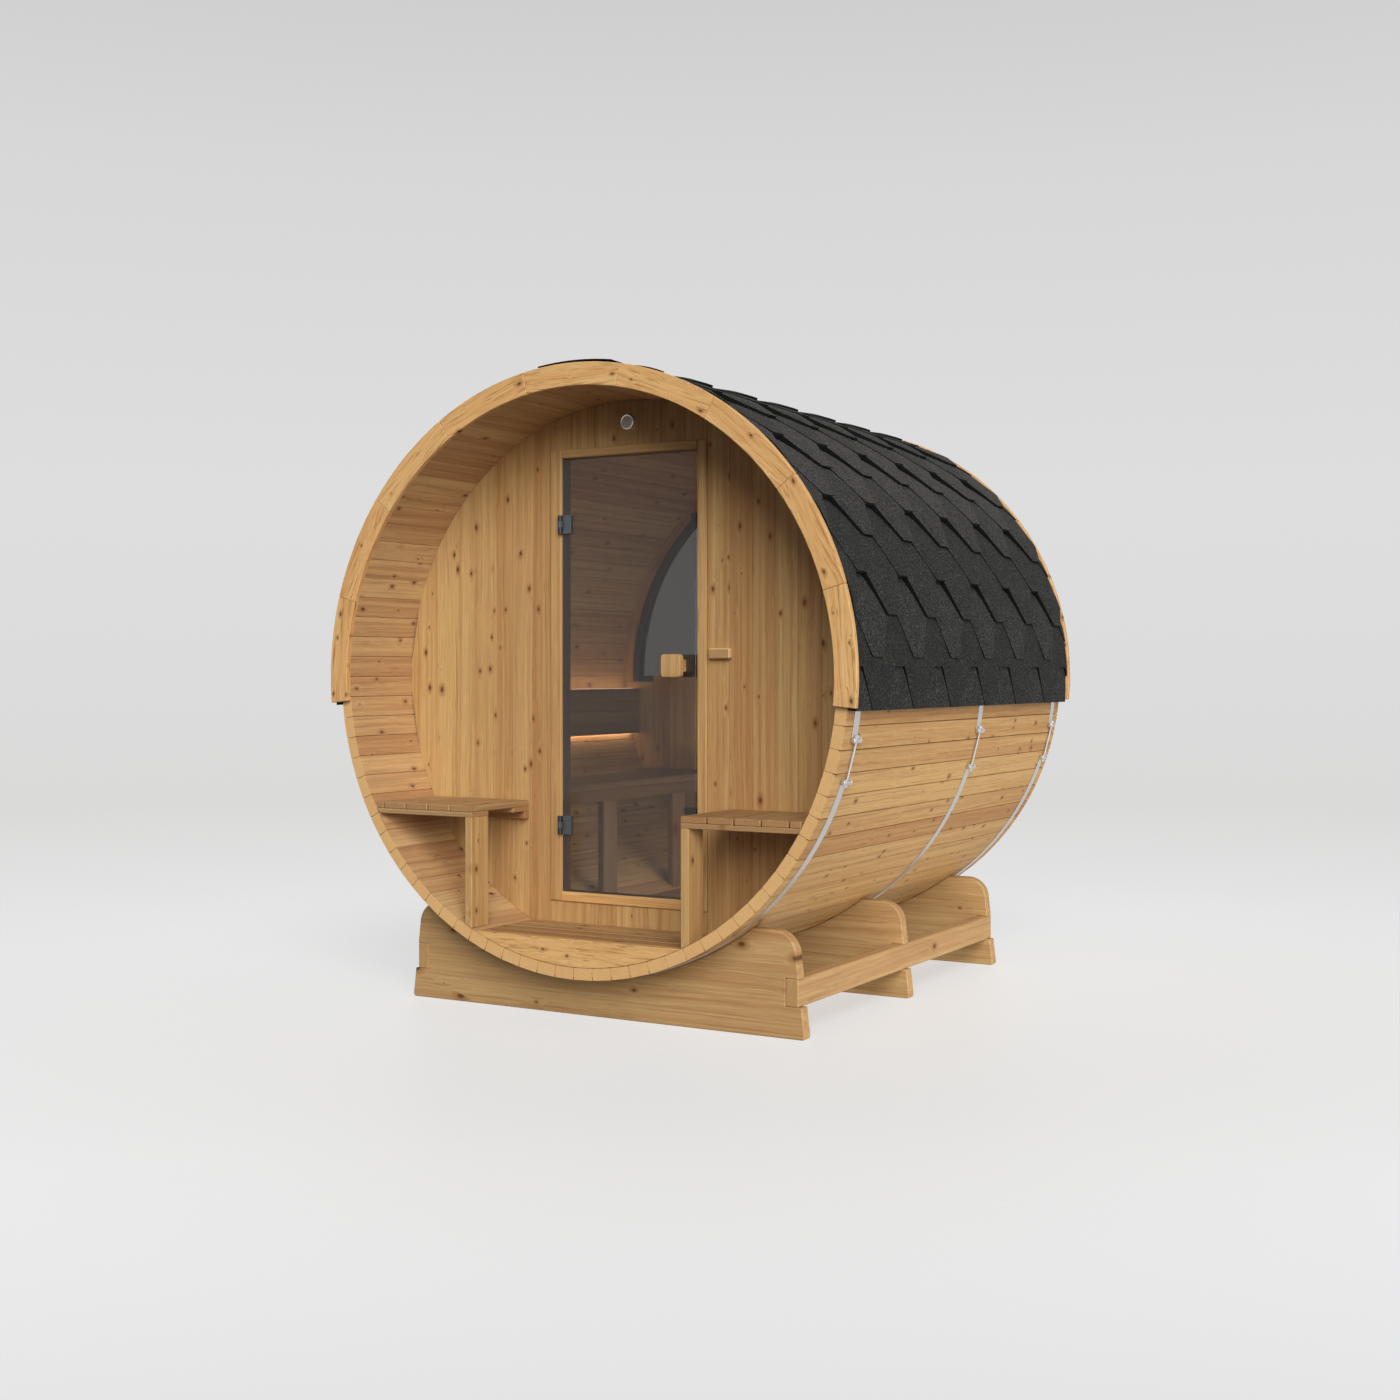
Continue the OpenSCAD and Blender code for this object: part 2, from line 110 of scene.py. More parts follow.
def linear(hex_colour: str) -> tuple[float, float, float, float]:
    """Turns an sRGB hex colour into linear light.

    Args:
        hex_colour: Six hex digits after a hash sign.

    Returns:
        Linear red, green, blue and an alpha of one.
    """
    raw = np.array([int(hex_colour[i:i + 2], 16) for i in (1, 3, 5)]) / 255.0
    lin = np.where(raw <= 0.04045, raw / 12.92, ((raw + 0.055) / 1.055) ** 2.4)
    return (float(lin[0]), float(lin[1]), float(lin[2]), 1.0)


def put(tree: bpy.types.NodeTree, kind: str, sockets: dict[Any, Any] | None = None,
        stops: Sequence[tuple[float, str]] = (), **settings: Any) -> bpy.types.Node:
    """Adds one node with its settings and links.

    Args:
        tree: The node tree that gets the node.
        kind: Blender's name of the node type, less the ShaderNode that it starts with.
        sockets: Input name or number to a plain value, or to a pair (node, output) that is linked.
        stops: Place from 0 to 1 and hex colour of each stop, for a colour ramp.
        settings: Properties of the node itself.

    Returns:
        The new node.
    """
    node = tree.nodes.new("ShaderNode" + kind)
    for key, value in settings.items():
        setattr(node, key, value)
    for key, value in (sockets or {}).items():
        if isinstance(value, tuple) and len(value) == 2 and isinstance(value[0], bpy.types.Node):
            tree.links.new(value[0].outputs[value[1]], node.inputs[key])
        else:
            node.inputs[key].default_value = value
    for i, (place, colour) in enumerate(stops):
        band = node.color_ramp.elements
        element = band[i] if i < 2 else band.new(place)
        element.position = place
        element.color = linear(colour)
    return node


def start_material(name: str) -> tuple[bpy.types.Material, bpy.types.NodeTree, bpy.types.Node]:
    """Makes an empty material with an output and a Principled shader.

    Args:
        name: Name of the material.

    Returns:
        The material, its tree and its shader.
    """
    material = bpy.data.materials.new(name)
    material.use_nodes = True
    tree = material.node_tree
    tree.nodes.clear()
    shader = put(tree, "BsdfPrincipled")
    put(tree, "OutputMaterial", {"Surface": (shader, "BSDF")})
    return material, tree, shader


@dataclass(frozen=True)
class KnottySpruce:
    """Planed, oiled knotty spruce: honey boards with fine long streaks and small dark knots.

    The eye sees bands of yellow and reddish wood along each board, darker latewood lines a few
    millimetres apart, oval knots 6 to 16 mm long with a brown halo, and browner cut ends.
    """

    name: str
    yellow: str = "#c4a069"
    red: str = "#a97b4a"
    line: str = "#885c33"
    knot: str = "#5a3719"
    halo: str = "#8a5a2c"
    end: str = "#ac8559"
    sawn_line: str = "#8c5f34"
    # Saturation taken off the inner faces to offset the orange of light bounced round inside: a painted
    # correction of the light, not the wood's own colour.
    inside_bounce_dulling: float = 0.08
    band_mm: float = 22.0
    streak_mm: float = 6.5
    fine_mm: float = 2.2
    knot_gap_mm: float = 80.0
    year_mm: float = 4.5
    line_mix: float = 0.55
    swirl: float = 0.03
    wander_per_m: tuple[float, float, float] = (1.3, 8.0, 8.0)
    bands_per_m: float = 0.5
    streaks_per_m: float = 1.1
    silk_per_m: float = 6.0
    band_span: tuple[float, float] = (0.28, 0.76)
    line_span: tuple[float, float] = (0.5, 0.72)
    silk_span: tuple[float, float] = (0.83, 1.12)
    rough: float = 0.58
    tone_gain: float = 0.42
    knot_chance: float = 0.52
    knot_share: float = 0.115
    knot_core: float = 0.3
    knot_shape: tuple[float, float, float] = (0.6, 1.0, 0.12)
    halo_reach: float = 2.6
    end_cover: float = 0.75

    def make(self) -> bpy.types.Material:
        """Builds the material from the board attributes grain, tone, endcut and inside.

        Returns:
            The spruce material.
        """
        material, tree, shader = start_material(self.name)
        grain = put(tree, "Attribute", attribute_name="grain")
        knot, halo, bend = self.knots(tree, grain)
        lined, fine = self.streaks(tree, grain, bend)
        dim, bright = self.silk_span
        silk = put(tree, "MapRange", {0: (fine, 0), 1: 0.3, 2: 0.7, 3: dim, 4: bright})
        shade = put(tree, "VectorMath", {0: (lined, 2), "Scale": (silk, 0)}, operation="SCALE")
        ringed = put(tree, "Mix", {"Factor": (halo, 0), "A": (shade, 0), "B": linear(self.halo)},
                     data_type="RGBA")
        knotted = put(tree, "Mix", {"Factor": (knot, 0), "A": (ringed, 2), "B": linear(self.knot)},
                      data_type="RGBA")
        colour = self.cut_ends(tree, grain, knotted)
        # Inner faces are dulled to offset the orange of bounced light: painted, not the wood's own colour.
        inner_face = put(tree, "Attribute", attribute_name="inside")
        dull = put(tree, "Math", {0: (inner_face, "Fac"), 1: -self.inside_bounce_dulling, 2: 1.0},
                   operation="MULTIPLY_ADD")
        shown = put(tree, "HueSaturation", {"Saturation": (dull, 0), "Color": (colour, 2)})
        tree.links.new(shown.outputs[0], shader.inputs["Base Color"])
        gloss = put(tree, "MapRange", {0: (fine, 0), 3: self.rough + 0.08, 4: self.rough - 0.06})
        tree.links.new(gloss.outputs[0], shader.inputs["Roughness"])
        bump = put(tree, "Bump", {"Height": (silk, 0), "Strength": 0.2, "Distance": 0.0006})
        tree.links.new(bump.outputs[0], shader.inputs["Normal"])
        shader.inputs["Specular IOR Level"].default_value = 0.35
        return material

    def knots(self, tree: bpy.types.NodeTree, grain: bpy.types.Node) -> tuple[bpy.types.Node, ...]:
        """Scatters oval knots, one in each Voronoi cell whose chance is high enough, with a halo round it.

        Args:
            tree: The material's tree.
            grain: The board's own coordinates.

        Returns:
            Nodes of the knots' cover, of their halos' cover and of the bend of the grain round them.
        """
        cells = tuple(1000.0 / self.knot_gap_mm * share for share in self.knot_shape)
        spots = put(tree, "VectorMath", {0: (grain, "Vector"), 1: cells}, operation="MULTIPLY")
        cell = put(tree, "TexVoronoi", {"Vector": (spots, 0), "Scale": 1.0}, feature="F1",
                   voronoi_dimensions="2D")
        chance = put(tree, "SeparateColor", {0: (cell, "Color")})
        size = put(tree, "MapRange",
                   {0: (chance, 0), 1: self.knot_chance, 2: 1.0, 3: 0.0, 4: self.knot_share})
        core = put(tree, "Math", {0: (size, 0), 1: self.knot_core}, operation="MULTIPLY")
        rim = put(tree, "Math", {0: (size, 0), 1: self.halo_reach}, operation="MULTIPLY")
        spans = (((core, 0), (size, 0), 1.0), ((core, 0), (rim, 0), 0.75), (0.0, 0.35, 0.007))
        knot, halo, near = (put(tree, "MapRange",
                                {0: (cell, "Distance"), 1: start, 2: stop, 3: most, 4: 0.0},
                                interpolation_type="SMOOTHSTEP") for start, stop, most in spans)
        bend = put(tree, "Math", {0: (near, 0), 1: (chance, 0)}, operation="MULTIPLY")
        return knot, halo, bend

    def streaks(self, tree: bpy.types.NodeTree, grain: bpy.types.Node,
                bend: bpy.types.Node) -> tuple[bpy.types.Node, bpy.types.Node]:
        """Colours the board by noise drawn out along it: broad bands, latewood lines and a fine silk.

        Args:
            tree: The material's tree.
            grain: The board's own coordinates.
            bend: How far the grain moves aside round knots.

        Returns:
            The colour's node and the fine noise's node.
        """
        tone = put(tree, "Attribute", attribute_name="tone")
        slow = put(tree, "VectorMath", {0: (grain, "Vector"), 1: self.wander_per_m}, operation="MULTIPLY")
        wander = put(tree, "TexNoise", {"Vector": (slow, 0), "Scale": 1.0, "Detail": 2.0})
        drift = put(tree, "Math", {0: (wander, 0), 1: self.swirl, 2: (bend, 0)}, operation="MULTIPLY_ADD")
        shift = put(tree, "CombineXYZ", {1: (drift, 0), 2: (drift, 0)})
        moved = put(tree, "VectorMath", {0: (grain, "Vector"), 1: (shift, 0)}, operation="ADD")
        noises = []
        for run, mm, detail in ((self.bands_per_m, self.band_mm, 1.5),
                                (self.streaks_per_m, self.streak_mm, 3.0),
                                (self.silk_per_m, self.fine_mm, 2.0)):
            wave = put(tree, "VectorMath", {0: (moved, 0), 1: (run, 1000.0 / mm, 1000.0 / mm)},
                       operation="MULTIPLY")
            noises.append(put(tree, "TexNoise", {"Vector": (wave, 0), "Scale": 1.0, "Detail": detail,
                                                 "Roughness": 0.6}))
        band, streak, fine = noises
        yellow, red = self.band_span
        bands = put(tree, "MapRange", {0: (band, 0), 1: yellow, 2: red})
        mixed = put(tree, "Math", {0: (tone, "Fac"), 1: -self.tone_gain, 2: (bands, 0)},
                    operation="MULTIPLY_ADD", use_clamp=True)
        wood = put(tree, "Mix", {"Factor": (mixed, 0), "A": linear(self.yellow), "B": linear(self.red)},
                   data_type="RGBA")
        faint, full = self.line_span
        lines = put(tree, "MapRange", {0: (streak, 0), 1: faint, 2: full, 3: 0.0, 4: self.line_mix},
                    interpolation_type="SMOOTHSTEP")
        lined = put(tree, "Mix", {"Factor": (lines, 0), "A": (wood, 2), "B": linear(self.line)},
                    data_type="RGBA")
        return lined, fine

    def cut_ends(self, tree: bpy.types.NodeTree, grain: bpy.types.Node,
                 face: bpy.types.Node) -> bpy.types.Node:
        """Shows year rings on the sawn ends of boards.

        Args:
            tree: The material's tree.
            grain: The board's own coordinates.
            face: Colour of the planed faces.

        Returns:
            The colour's node, with the ends in it.
        """
        cut = put(tree, "Attribute", attribute_name="endcut")
        years = put(tree, "TexWave", {"Vector": (grain, "Vector"), "Scale": 314.0 / self.year_mm,
                                      "Distortion": 5.0, "Detail": 2.0, "Detail Scale": 0.2},
                    wave_type="RINGS", rings_direction="X")
        sawn = put(tree, "Mix", {"Factor": (years, 1), "A": linear(self.end), "B": linear(self.sawn_line)},
                   data_type="RGBA")
        ended = put(tree, "Math", {0: (cut, "Fac"), 1: self.end_cover}, operation="MULTIPLY")
        return put(tree, "Mix", {"Factor": (ended, 0), "A": (face, 2), "B": (sawn, 2)}, data_type="RGBA")


@dataclass(frozen=True)
class GranulatedBitumen:
    """Charcoal bitumen shingle with crushed slate grit: matt, almost black, finely speckled."""

    name: str
    dark: str = "#121213"
    mid: str = "#242423"
    light: str = "#605e5b"
    # Near black for cut edges: partly the bitumen's dark core, partly painted shade where the tabs stand
    # over the course below.
    cut_edge_and_shade: str = "#050505"
    grit_mm: float = 5.0
    patches_per_m: float = 22.0
    rough: float = 0.92

    def make(self) -> bpy.types.Material:
        """Builds the material, black on cut edges: partly the bitumen's own dark core, partly painted shade
        under the tabs.

        The grit is drawn at about three times its real size so that it shows.

        Returns:
            The shingle material.
        """
        material, tree, shader = start_material(self.name)
        place = put(tree, "TexCoord")
        tone = put(tree, "Attribute", attribute_name="tone")
        grit = put(tree, "TexNoise", {"Vector": (place, "Object"), "Scale": 1000.0 / self.grit_mm,
                                      "Detail": 2.0, "Roughness": 0.7})
        patch = put(tree, "TexNoise", {"Vector": (place, "Object"), "Scale": self.patches_per_m,
                                       "Detail": 3.0})
        level = put(tree, "Math", {0: (patch, 0), 1: 0.1, 2: (grit, 0)}, operation="MULTIPLY_ADD")
        tint = put(tree, "Math", {0: (tone, "Fac"), 1: 0.06, 2: (level, 0)}, operation="MULTIPLY_ADD")
        spread = put(tree, "MapRange", {0: (tint, 0), 1: 0.36, 2: 0.76})
        colour = put(tree, "ValToRGB", {0: (spread, 0)},
                     ((0.0, self.dark), (1.0, self.light), (0.5, self.mid)))
        # Cut faces, the sheets' lower edges and ends, take the near black: partly the bitumen's core, partly
        # painted shade.
        cut = put(tree, "Attribute", attribute_name="endcut")
        shown = put(tree, "Mix", {"Factor": (cut, "Fac"), "A": (colour, 0), "B": linear(self.cut_edge_and_shade)},
                    data_type="RGBA")
        tree.links.new(shown.outputs[2], shader.inputs["Base Color"])
        bump = put(tree, "Bump", {"Height": (grit, 0), "Strength": 0.5, "Distance": 0.0012})
        tree.links.new(bump.outputs[0], shader.inputs["Normal"])
        shader.inputs["Roughness"].default_value = self.rough
        shader.inputs["Specular IOR Level"].default_value = 0.2
        return material


@dataclass(frozen=True)
class Metal:
    """Sheet or turned metal with faint brushing and handling marks."""

    name: str
    colour: str
    rough: float
    metallic: float = 1.0
    mark_mm: float = 4.0

    def make(self) -> bpy.types.Material:
        """Builds the metal with roughness that drifts over the surface.

        Returns:
            The metal material.
        """
        material, tree, shader = start_material(self.name)
        place = put(tree, "TexCoord")
        marks = put(tree, "TexNoise", {"Vector": (place, "Object"), "Scale": 1000.0 / self.mark_mm,
                                       "Detail": 4.0, "Roughness": 0.6})
        rough = put(tree, "MapRange",
                    {0: (marks, 0), 1: 0.3, 2: 0.7, 3: self.rough - 0.07, 4: self.rough + 0.1})
        tree.links.new(rough.outputs[0], shader.inputs["Roughness"])
        bump = put(tree, "Bump", {"Height": (marks, 0), "Strength": 0.08, "Distance": 0.0004})
        tree.links.new(bump.outputs[0], shader.inputs["Normal"])
        shader.inputs["Base Color"].default_value = linear(self.colour)
        shader.inputs["Metallic"].default_value = self.metallic
        return material


@dataclass(frozen=True)
class Glass:
    """Float glass, tinted or clear: the tint dims what is behind, and the face mirrors faintly."""

    name: str
    tint: str
    cover: float
    rough: float = 0.02
    hazes_per_m: float = 3.0
    ior: float = 1.52

    def make(self) -> bpy.types.Material:
        """Builds glass whose cover is the share of light it stops.

        Returns:
            The glass material.
        """
        material, tree, shader = start_material(self.name)
        place = put(tree, "TexCoord")
        haze = put(tree, "TexNoise", {"Vector": (place, "Object"), "Scale": self.hazes_per_m,
                                      "Detail": 2.0})
        rough = put(tree, "MapRange", {0: (haze, 0), 3: self.rough, 4: self.rough + 0.03})
        tree.links.new(rough.outputs[0], shader.inputs["Roughness"])
        shader.inputs["Base Color"].default_value = linear(self.tint)
        shader.inputs["Alpha"].default_value = self.cover
        shader.inputs["IOR"].default_value = self.ior
        return material


@dataclass(frozen=True)
class Plastic:
    """Moulded plastic or a diffuser, with its own glow where it is lit."""

    name: str
    colour: str
    rough: float = 0.45
    glow: float = 0.0
    grains_per_m: float = 900.0

    def make(self) -> bpy.types.Material:
        """Builds the plastic with a fine moulded grain.

        Returns:
            The plastic material.
        """
        material, tree, shader = start_material(self.name)
        place = put(tree, "TexCoord")
        grain = put(tree, "TexNoise", {"Vector": (place, "Object"), "Scale": self.grains_per_m,
                                       "Detail": 2.0})
        rough = put(tree, "MapRange", {0: (grain, 0), 3: self.rough - 0.06, 4: self.rough + 0.06})
        tree.links.new(rough.outputs[0], shader.inputs["Roughness"])
        shader.inputs["Base Color"].default_value = linear(self.colour)
        if self.glow > 0.0:
            shader.inputs["Emission Color"].default_value = linear(self.colour)
            shader.inputs["Emission Strength"].default_value = self.glow
        return material


@dataclass
class Finishes:
    """The finishes of the sauna, each made once."""

    made: dict[str, bpy.types.Material] = field(default_factory=dict)

    def __post_init__(self) -> None:
        """Makes every material."""
        kinds = (
            KnottySpruce("spruce_staves", yellow="#cba268", red="#b07e4a", tone_gain=0.55, end="#e6bd83",
                         sawn_line="#cf9d62", knot_gap_mm=72.0),
            KnottySpruce("spruce_trim", yellow="#dcb175", red="#d09a5f", line="#8a5424", streak_mm=7.0,
                         streaks_per_m=6.0, swirl=0.09, line_mix=0.7, knot_gap_mm=62.0, tone_gain=0.12),
            KnottySpruce("spruce_wall", tone_gain=0.45, line_mix=0.4),
            KnottySpruce("spruce_frame", knot_gap_mm=240.0, tone_gain=0.2),
            KnottySpruce("spruce_sill", yellow="#e0b778", red="#c28d55", line="#9c6a3b", knot_gap_mm=240.0,
                         tone_gain=0.2),
            KnottySpruce("spruce_cradle", yellow="#bc9866", red="#a4794b", line="#835b32", end="#b8935f",
                         sawn_line="#9c7346", knot_gap_mm=120.0),
            KnottySpruce("spruce_deck", yellow="#b38e60", red="#9b6d43", line="#7b522b"),
            KnottySpruce("spruce_bench", yellow="#ad8d61", red="#986c43", line="#785030"),
            # A darker copy of the spruce: painted shade for the bench, backrest and inner knob in the dim
            # cabin.
            KnottySpruce("shade_dark_spruce", yellow="#84694b", red="#725539", line="#583e27",
                         knot_gap_mm=300.0),
            KnottySpruce("spruce_knob", knot_gap_mm=900.0, streak_mm=5.0),
            KnottySpruce("pale_peg", yellow="#dcbb88", red="#cfa873", line="#a9824f", knot_gap_mm=900.0,
                         streak_mm=5.0),
            KnottySpruce("dark_window_frame", yellow="#443c36", red="#39312c", line="#2f2925",
                         end="#3d3631", knot_gap_mm=900.0),
            GranulatedBitumen("bitumen_shingle"),
            Metal("bright_band_steel", "#cfcdca", 0.36),
            Metal("zinc_bolts", "#d2d2d4", 0.34),
            Metal("dark_hinge_metal", "#3a3a3a", 0.45, metallic=0.8),
            Metal("grey_hinge_metal", "#5c6266", 0.45, metallic=0.8),
            Glass("bronze_tinted_glass", "#3a3836", 0.42),
            Glass("clear_pane", "#272b2d", 0.55),
            Plastic("black_catch_plastic", "#141414", 0.4),
            # Grey for the sheets on the door frame's inner faces: painted shade.
            Plastic("jamb_shade_grey", "#5a5049", 0.7),
            Plastic("lamp_diffuser", "#e6e4e0", 0.35),
            Plastic("led_glow", "#ffe0b8", 0.4, glow=18.0),
        )
        for kind in kinds:
            self.made[kind.name] = kind.make()

    def of(self, name: str) -> bpy.types.Material:
        """Returns the finish of that name."""
        return self.made[name]


def circle_ends(side: int) -> Ends:
    """Where a level board that runs across meets the round of the barrel's inside.

    The end of each of the board's edges is the root of fit radius squared less height squared.

    Args:
        side: One for the right end, minus one for the left.

    Returns:
        A function from points to X.
    """
    return lambda p: side * np.sqrt(np.maximum(FIT_R ** 2 - (p[:, 2] - AXIS_Z) ** 2, 0.0))


def circle_heights(side: int, r: float = FIT_R) -> Ends:
    """Where an upright board meets the round of the barrel.

    It is the axis height plus or minus the root of r squared less X squared.

    Args:
        side: One for the top end, minus one for the bottom.
        r: Radius of the round.

    Returns:
        A function from points to Z.
    """
    return lambda p: AXIS_Z + side * np.sqrt(np.maximum(r ** 2 - p[:, 0] ** 2, 0.0))


def on_floor(p: np.ndarray) -> np.ndarray:
    """Heights of a post's foot: the floor, or the round of the barrel where that is higher.

    Args:
        p: Points of the foot.

    Returns:
        Z of each point.
    """
    return np.maximum(FLOOR_Z, circle_heights(-1)(p))


def wrapped(r: np.ndarray, angle: np.ndarray, y: np.ndarray, side: int = 1) -> np.ndarray:
    """Points on the round: the axis plus radius times cosine and sine of the angle, at place y along it.

    Args:
        r: Radii.
        angle: Angles from +X in radians.
        y: Places along the barrel.
        side: One for the right, minus one for the mirrored left.

    Returns:
        The points, with X, Y and Z last.
    """
    x, z = side * r * np.cos(angle), AXIS_Z + r * np.sin(angle)
    return np.stack([x, np.broadcast_to(y, x.shape), z], -1)


def chamfered(w: float, t: float, c: float, k: int = 2) -> np.ndarray:
    """A rectangle w by t with its corners cut by c, as a closed outline.

    Args:
        w: Width.
        t: Thickness.
        c: Cut of the corners.
        k: Points along each wide side.

    Returns:
        Outline points, counter-clockwise, as rows.
    """
    run = np.linspace(-w / 2 + c, w / 2 - c, k)
    low = np.stack([run, np.full(k, -t / 2)], 1)
    top = np.stack([run[::-1], np.full(k, t / 2)], 1)
    right = np.array([[w / 2, -t / 2 + c], [w / 2, t / 2 - c]])
    return np.concatenate([low, right, top, -right])


def inset(outline: np.ndarray, d: float) -> np.ndarray:
    """Moves a counter-clockwise outline inwards by d, each corner along its two edges' normals.

    Args:
        outline: Points as rows.
        d: Distance.

    Returns:
        The moved points.
    """
    ahead = np.roll(outline, -1, 0) - outline
    ahead /= np.linalg.norm(ahead, axis=1, keepdims=True)
    back = np.roll(ahead, 1, 0)
    na = np.stack([-ahead[:, 1], ahead[:, 0]], 1)
    nb = np.stack([-back[:, 1], back[:, 0]], 1)
    reach = np.maximum(1.0 + (na * nb).sum(1, keepdims=True), 0.4)
    return outline + d * (na + nb) / reach


class Timber:
    """Boards gathered into one mesh, each with its own grain, tone and cut ends."""

    def __init__(self, name: str, seed: int) -> None:
        """Starts an empty set.

        Args:
            name: Name of the piece.
            seed: Seed of the boards' differences.
        """
        self.name = name
        self.rng = np.random.default_rng(seed)
        self.points: list[np.ndarray] = []
        self.grains: list[np.ndarray] = []
        self.tones: list[np.ndarray] = []
        self.faces: list[list[int]] = []
        self.cuts: list[np.ndarray] = []
        self.count = 0

    def loft(self, rings: np.ndarray, axes: np.ndarray, tone: float | None = None) -> None:
        """Adds one solid: an outline carried through rings, with flat caps at both ends.

        Args:
            rings: Array of rings by points by 3.
            axes: Rows along, across and through the grain.
            tone: Lightness from -1 to 1, or None for a seeded one.
        """
        m, n, _ = rings.shape
        flat = rings.reshape(-1, 3)
        i, j = np.meshgrid(np.arange(m - 1) * n, np.arange(n), indexing="ij")
        k = (j + 1) % n
        quads = np.stack([i + j, i + k, i + n + k, i + n + j], -1).reshape(-1, 4)
        a, b, c, d = (flat[quads[:, q]] for q in range(4))
        middle = flat.mean(0)
        normals = np.cross(b - a, c - a) + np.cross(c - a, d - a)
        flip = (normals * (a - middle)).sum() < 0
        if flip:
            quads = quads[:, ::-1]
        first, last = list(range(n)), list(range((m - 1) * n, m * n))
        caps = [first, last[::-1]] if flip else [first[::-1], last]
        self.faces += (quads + self.count).tolist() + [[v + self.count for v in cap] for cap in caps]
        self.cuts.append(np.concatenate([np.zeros(len(quads)), np.ones(len(caps))]))
        offset = self.rng.uniform(-40.0, 40.0, 3)
        self.points.append(flat)
        self.grains.append((flat - middle) @ axes.T + offset)
        drawn = float(np.clip(self.rng.normal(0.0, 0.5), -1.0, 1.0)) if tone is None else tone
        self.tones.append(np.full(len(flat), drawn))
        self.count += len(flat)

    def bar(self, axis: Axis, lo: Sequence[float], hi: Sequence[float], cut: float = EDGE, k: int = 2,
            start: Ends | None = None, stop: Ends | None = None, tone: float | None = None) -> None:
        """Adds a straight board: a chamfered rectangle carried along one axis, its ends eased too.

        Args:
            axis: Direction of its length and grain.
            lo: Lowest corner.
            hi: Highest corner.
            cut: Chamfer of its edges.
            k: Points along each wide side, more where an end is curved.
            start: Place of the low end for each point, or None for square.
            stop: Place of the high end for each point, or None for square.
            tone: Lightness, or None for a seeded one.
        """
        low, high = np.asarray(lo, float), np.asarray(hi, float)
        rest = [q for q in range(3) if q != axis.value]
        size, mid = high - low, (low + high) / 2
        u, v = rest if size[rest[0]] >= size[rest[1]] else rest[::-1]
        base = chamfered(size[u], size[v], cut, k)
        small = inset(base, cut * END_EASE)

        def ring(outline: np.ndarray, end: Ends | None, square: float, ease: float) -> np.ndarray:
            """Places one ring of the board.

            Args:
                outline: Outline of the ring across the board.
                end: Place of the end for each point, or None for square.
                square: Place of a square end.
                ease: Distance that the ring is moved along the board.

            Returns:
                The ring's points.
            """
            p = np.empty((len(outline), 3))
            p[:, u] = outline[:, 0] + mid[u]
            p[:, v] = outline[:, 1] + mid[v]
            p[:, axis.value] = square
            if end is not None:
                p[:, axis.value] = end(p)
            p[:, axis.value] += ease
            return p

        a, b = low[axis.value], high[axis.value]
        rings = np.stack([ring(small, start, a, 0.0), ring(base, start, a, cut),
                          ring(base, stop, b, -cut), ring(small, stop, b, 0.0)])
        self.loft(rings, np.eye(3)[[axis.value, u, v]], tone)

    def turned(self, centre: Sequence[float], axis: Axis, profile: Sequence[tuple[float, float]],
               n: int = 24, tone: float = 0.2) -> None:
        """Adds a turned solid: radius as a function of place along the axis, carried round in n steps.

        Args:
            centre: Where place zero sits.
            axis: The turning axis.
            profile: Pairs of place along the axis and radius.
            n: Steps round; six makes a hexagon nut.
            tone: Lightness.
        """
        u, v = [q for q in range(3) if q != axis.value]
        angle = np.linspace(0.0, 2 * np.pi, n, endpoint=False)
        along, radius = np.array(profile, float).T
        rings = np.empty((len(along), n, 3))
        rings[:, :, axis.value] = along[:, None] + centre[axis.value]
        rings[:, :, u] = radius[:, None] * np.cos(angle) + centre[u]
        rings[:, :, v] = radius[:, None] * np.sin(angle) + centre[v]
        self.loft(rings, np.eye(3)[[axis.value, u, v]], tone)

    def arc_board(self, r0: float, r1: float, ya: float, yb: float, a0: float, a1: float,
                  cut: float = SMALL_EDGE, floor: float | None = None) -> None:
        """Adds a board bent to a piece of a ring about the barrel's axis.

        Points are axis plus radius times (cos, sin) of the angle; the outline is a chamfered
        rectangle of radius by Y, carried from angle a0 to a1. The grain runs straight along the chord.

        Args:
            r0: Inner radius.
            r1: Outer radius.
            ya: Front face.
            yb: Rear face.
            a0: First angle in degrees from +X.
            a1: Last angle in degrees.
            cut: Chamfer.
            floor: Lowest Z that points are held to, or None.
        """
        base = chamfered(r1 - r0, yb - ya, cut)
        steps = max(4, int(abs(a1 - a0) / 2.0))
        ease = math.degrees(cut / r1)
        angles = np.radians(np.concatenate([[a0], np.linspace(a0 + ease, a1 - ease, steps), [a1]]))
        small = inset(base, cut * END_EASE)
        outlines = np.stack([small] + [base] * steps + [small])
        r = outlines[:, :, 0] + (r0 + r1) / 2
        rings = wrapped(r, angles[:, None], outlines[:, :, 1] + (ya + yb) / 2)
        if floor is not None:
            rings[:, :, 2] = np.maximum(rings[:, :, 2], floor)
        mid = math.radians((a0 + a1) / 2)
        axes = np.array([[-math.sin(mid), 0, math.cos(mid)], [math.cos(mid), 0, math.sin(mid)], [0, 1, 0]])
        self.loft(rings, axes)

    def slab(self, outline: np.ndarray, ya: float, yb: float, ease: float, tone: float) -> None:
        """Adds a plank sawn to an outline, with eased edges and no sawn look on its two faces.

        Args:
            outline: Counter-clockwise points of X and Z.
            ya: Front face.
            yb: Rear face.
            ease: Chamfer of its edges.
            tone: Lightness.
        """
        small = inset(outline, ease)
        places = ((small, ya), (outline, ya + ease), (outline, yb - ease), (small, yb))
        rings = np.stack([np.stack([o[:, 0], np.full(len(o), y), o[:, 1]], 1) for o, y in places])
        self.loft(rings, np.eye(3)[[0, 2, 1]], tone)
        self.cuts[-1][:] = 0.0

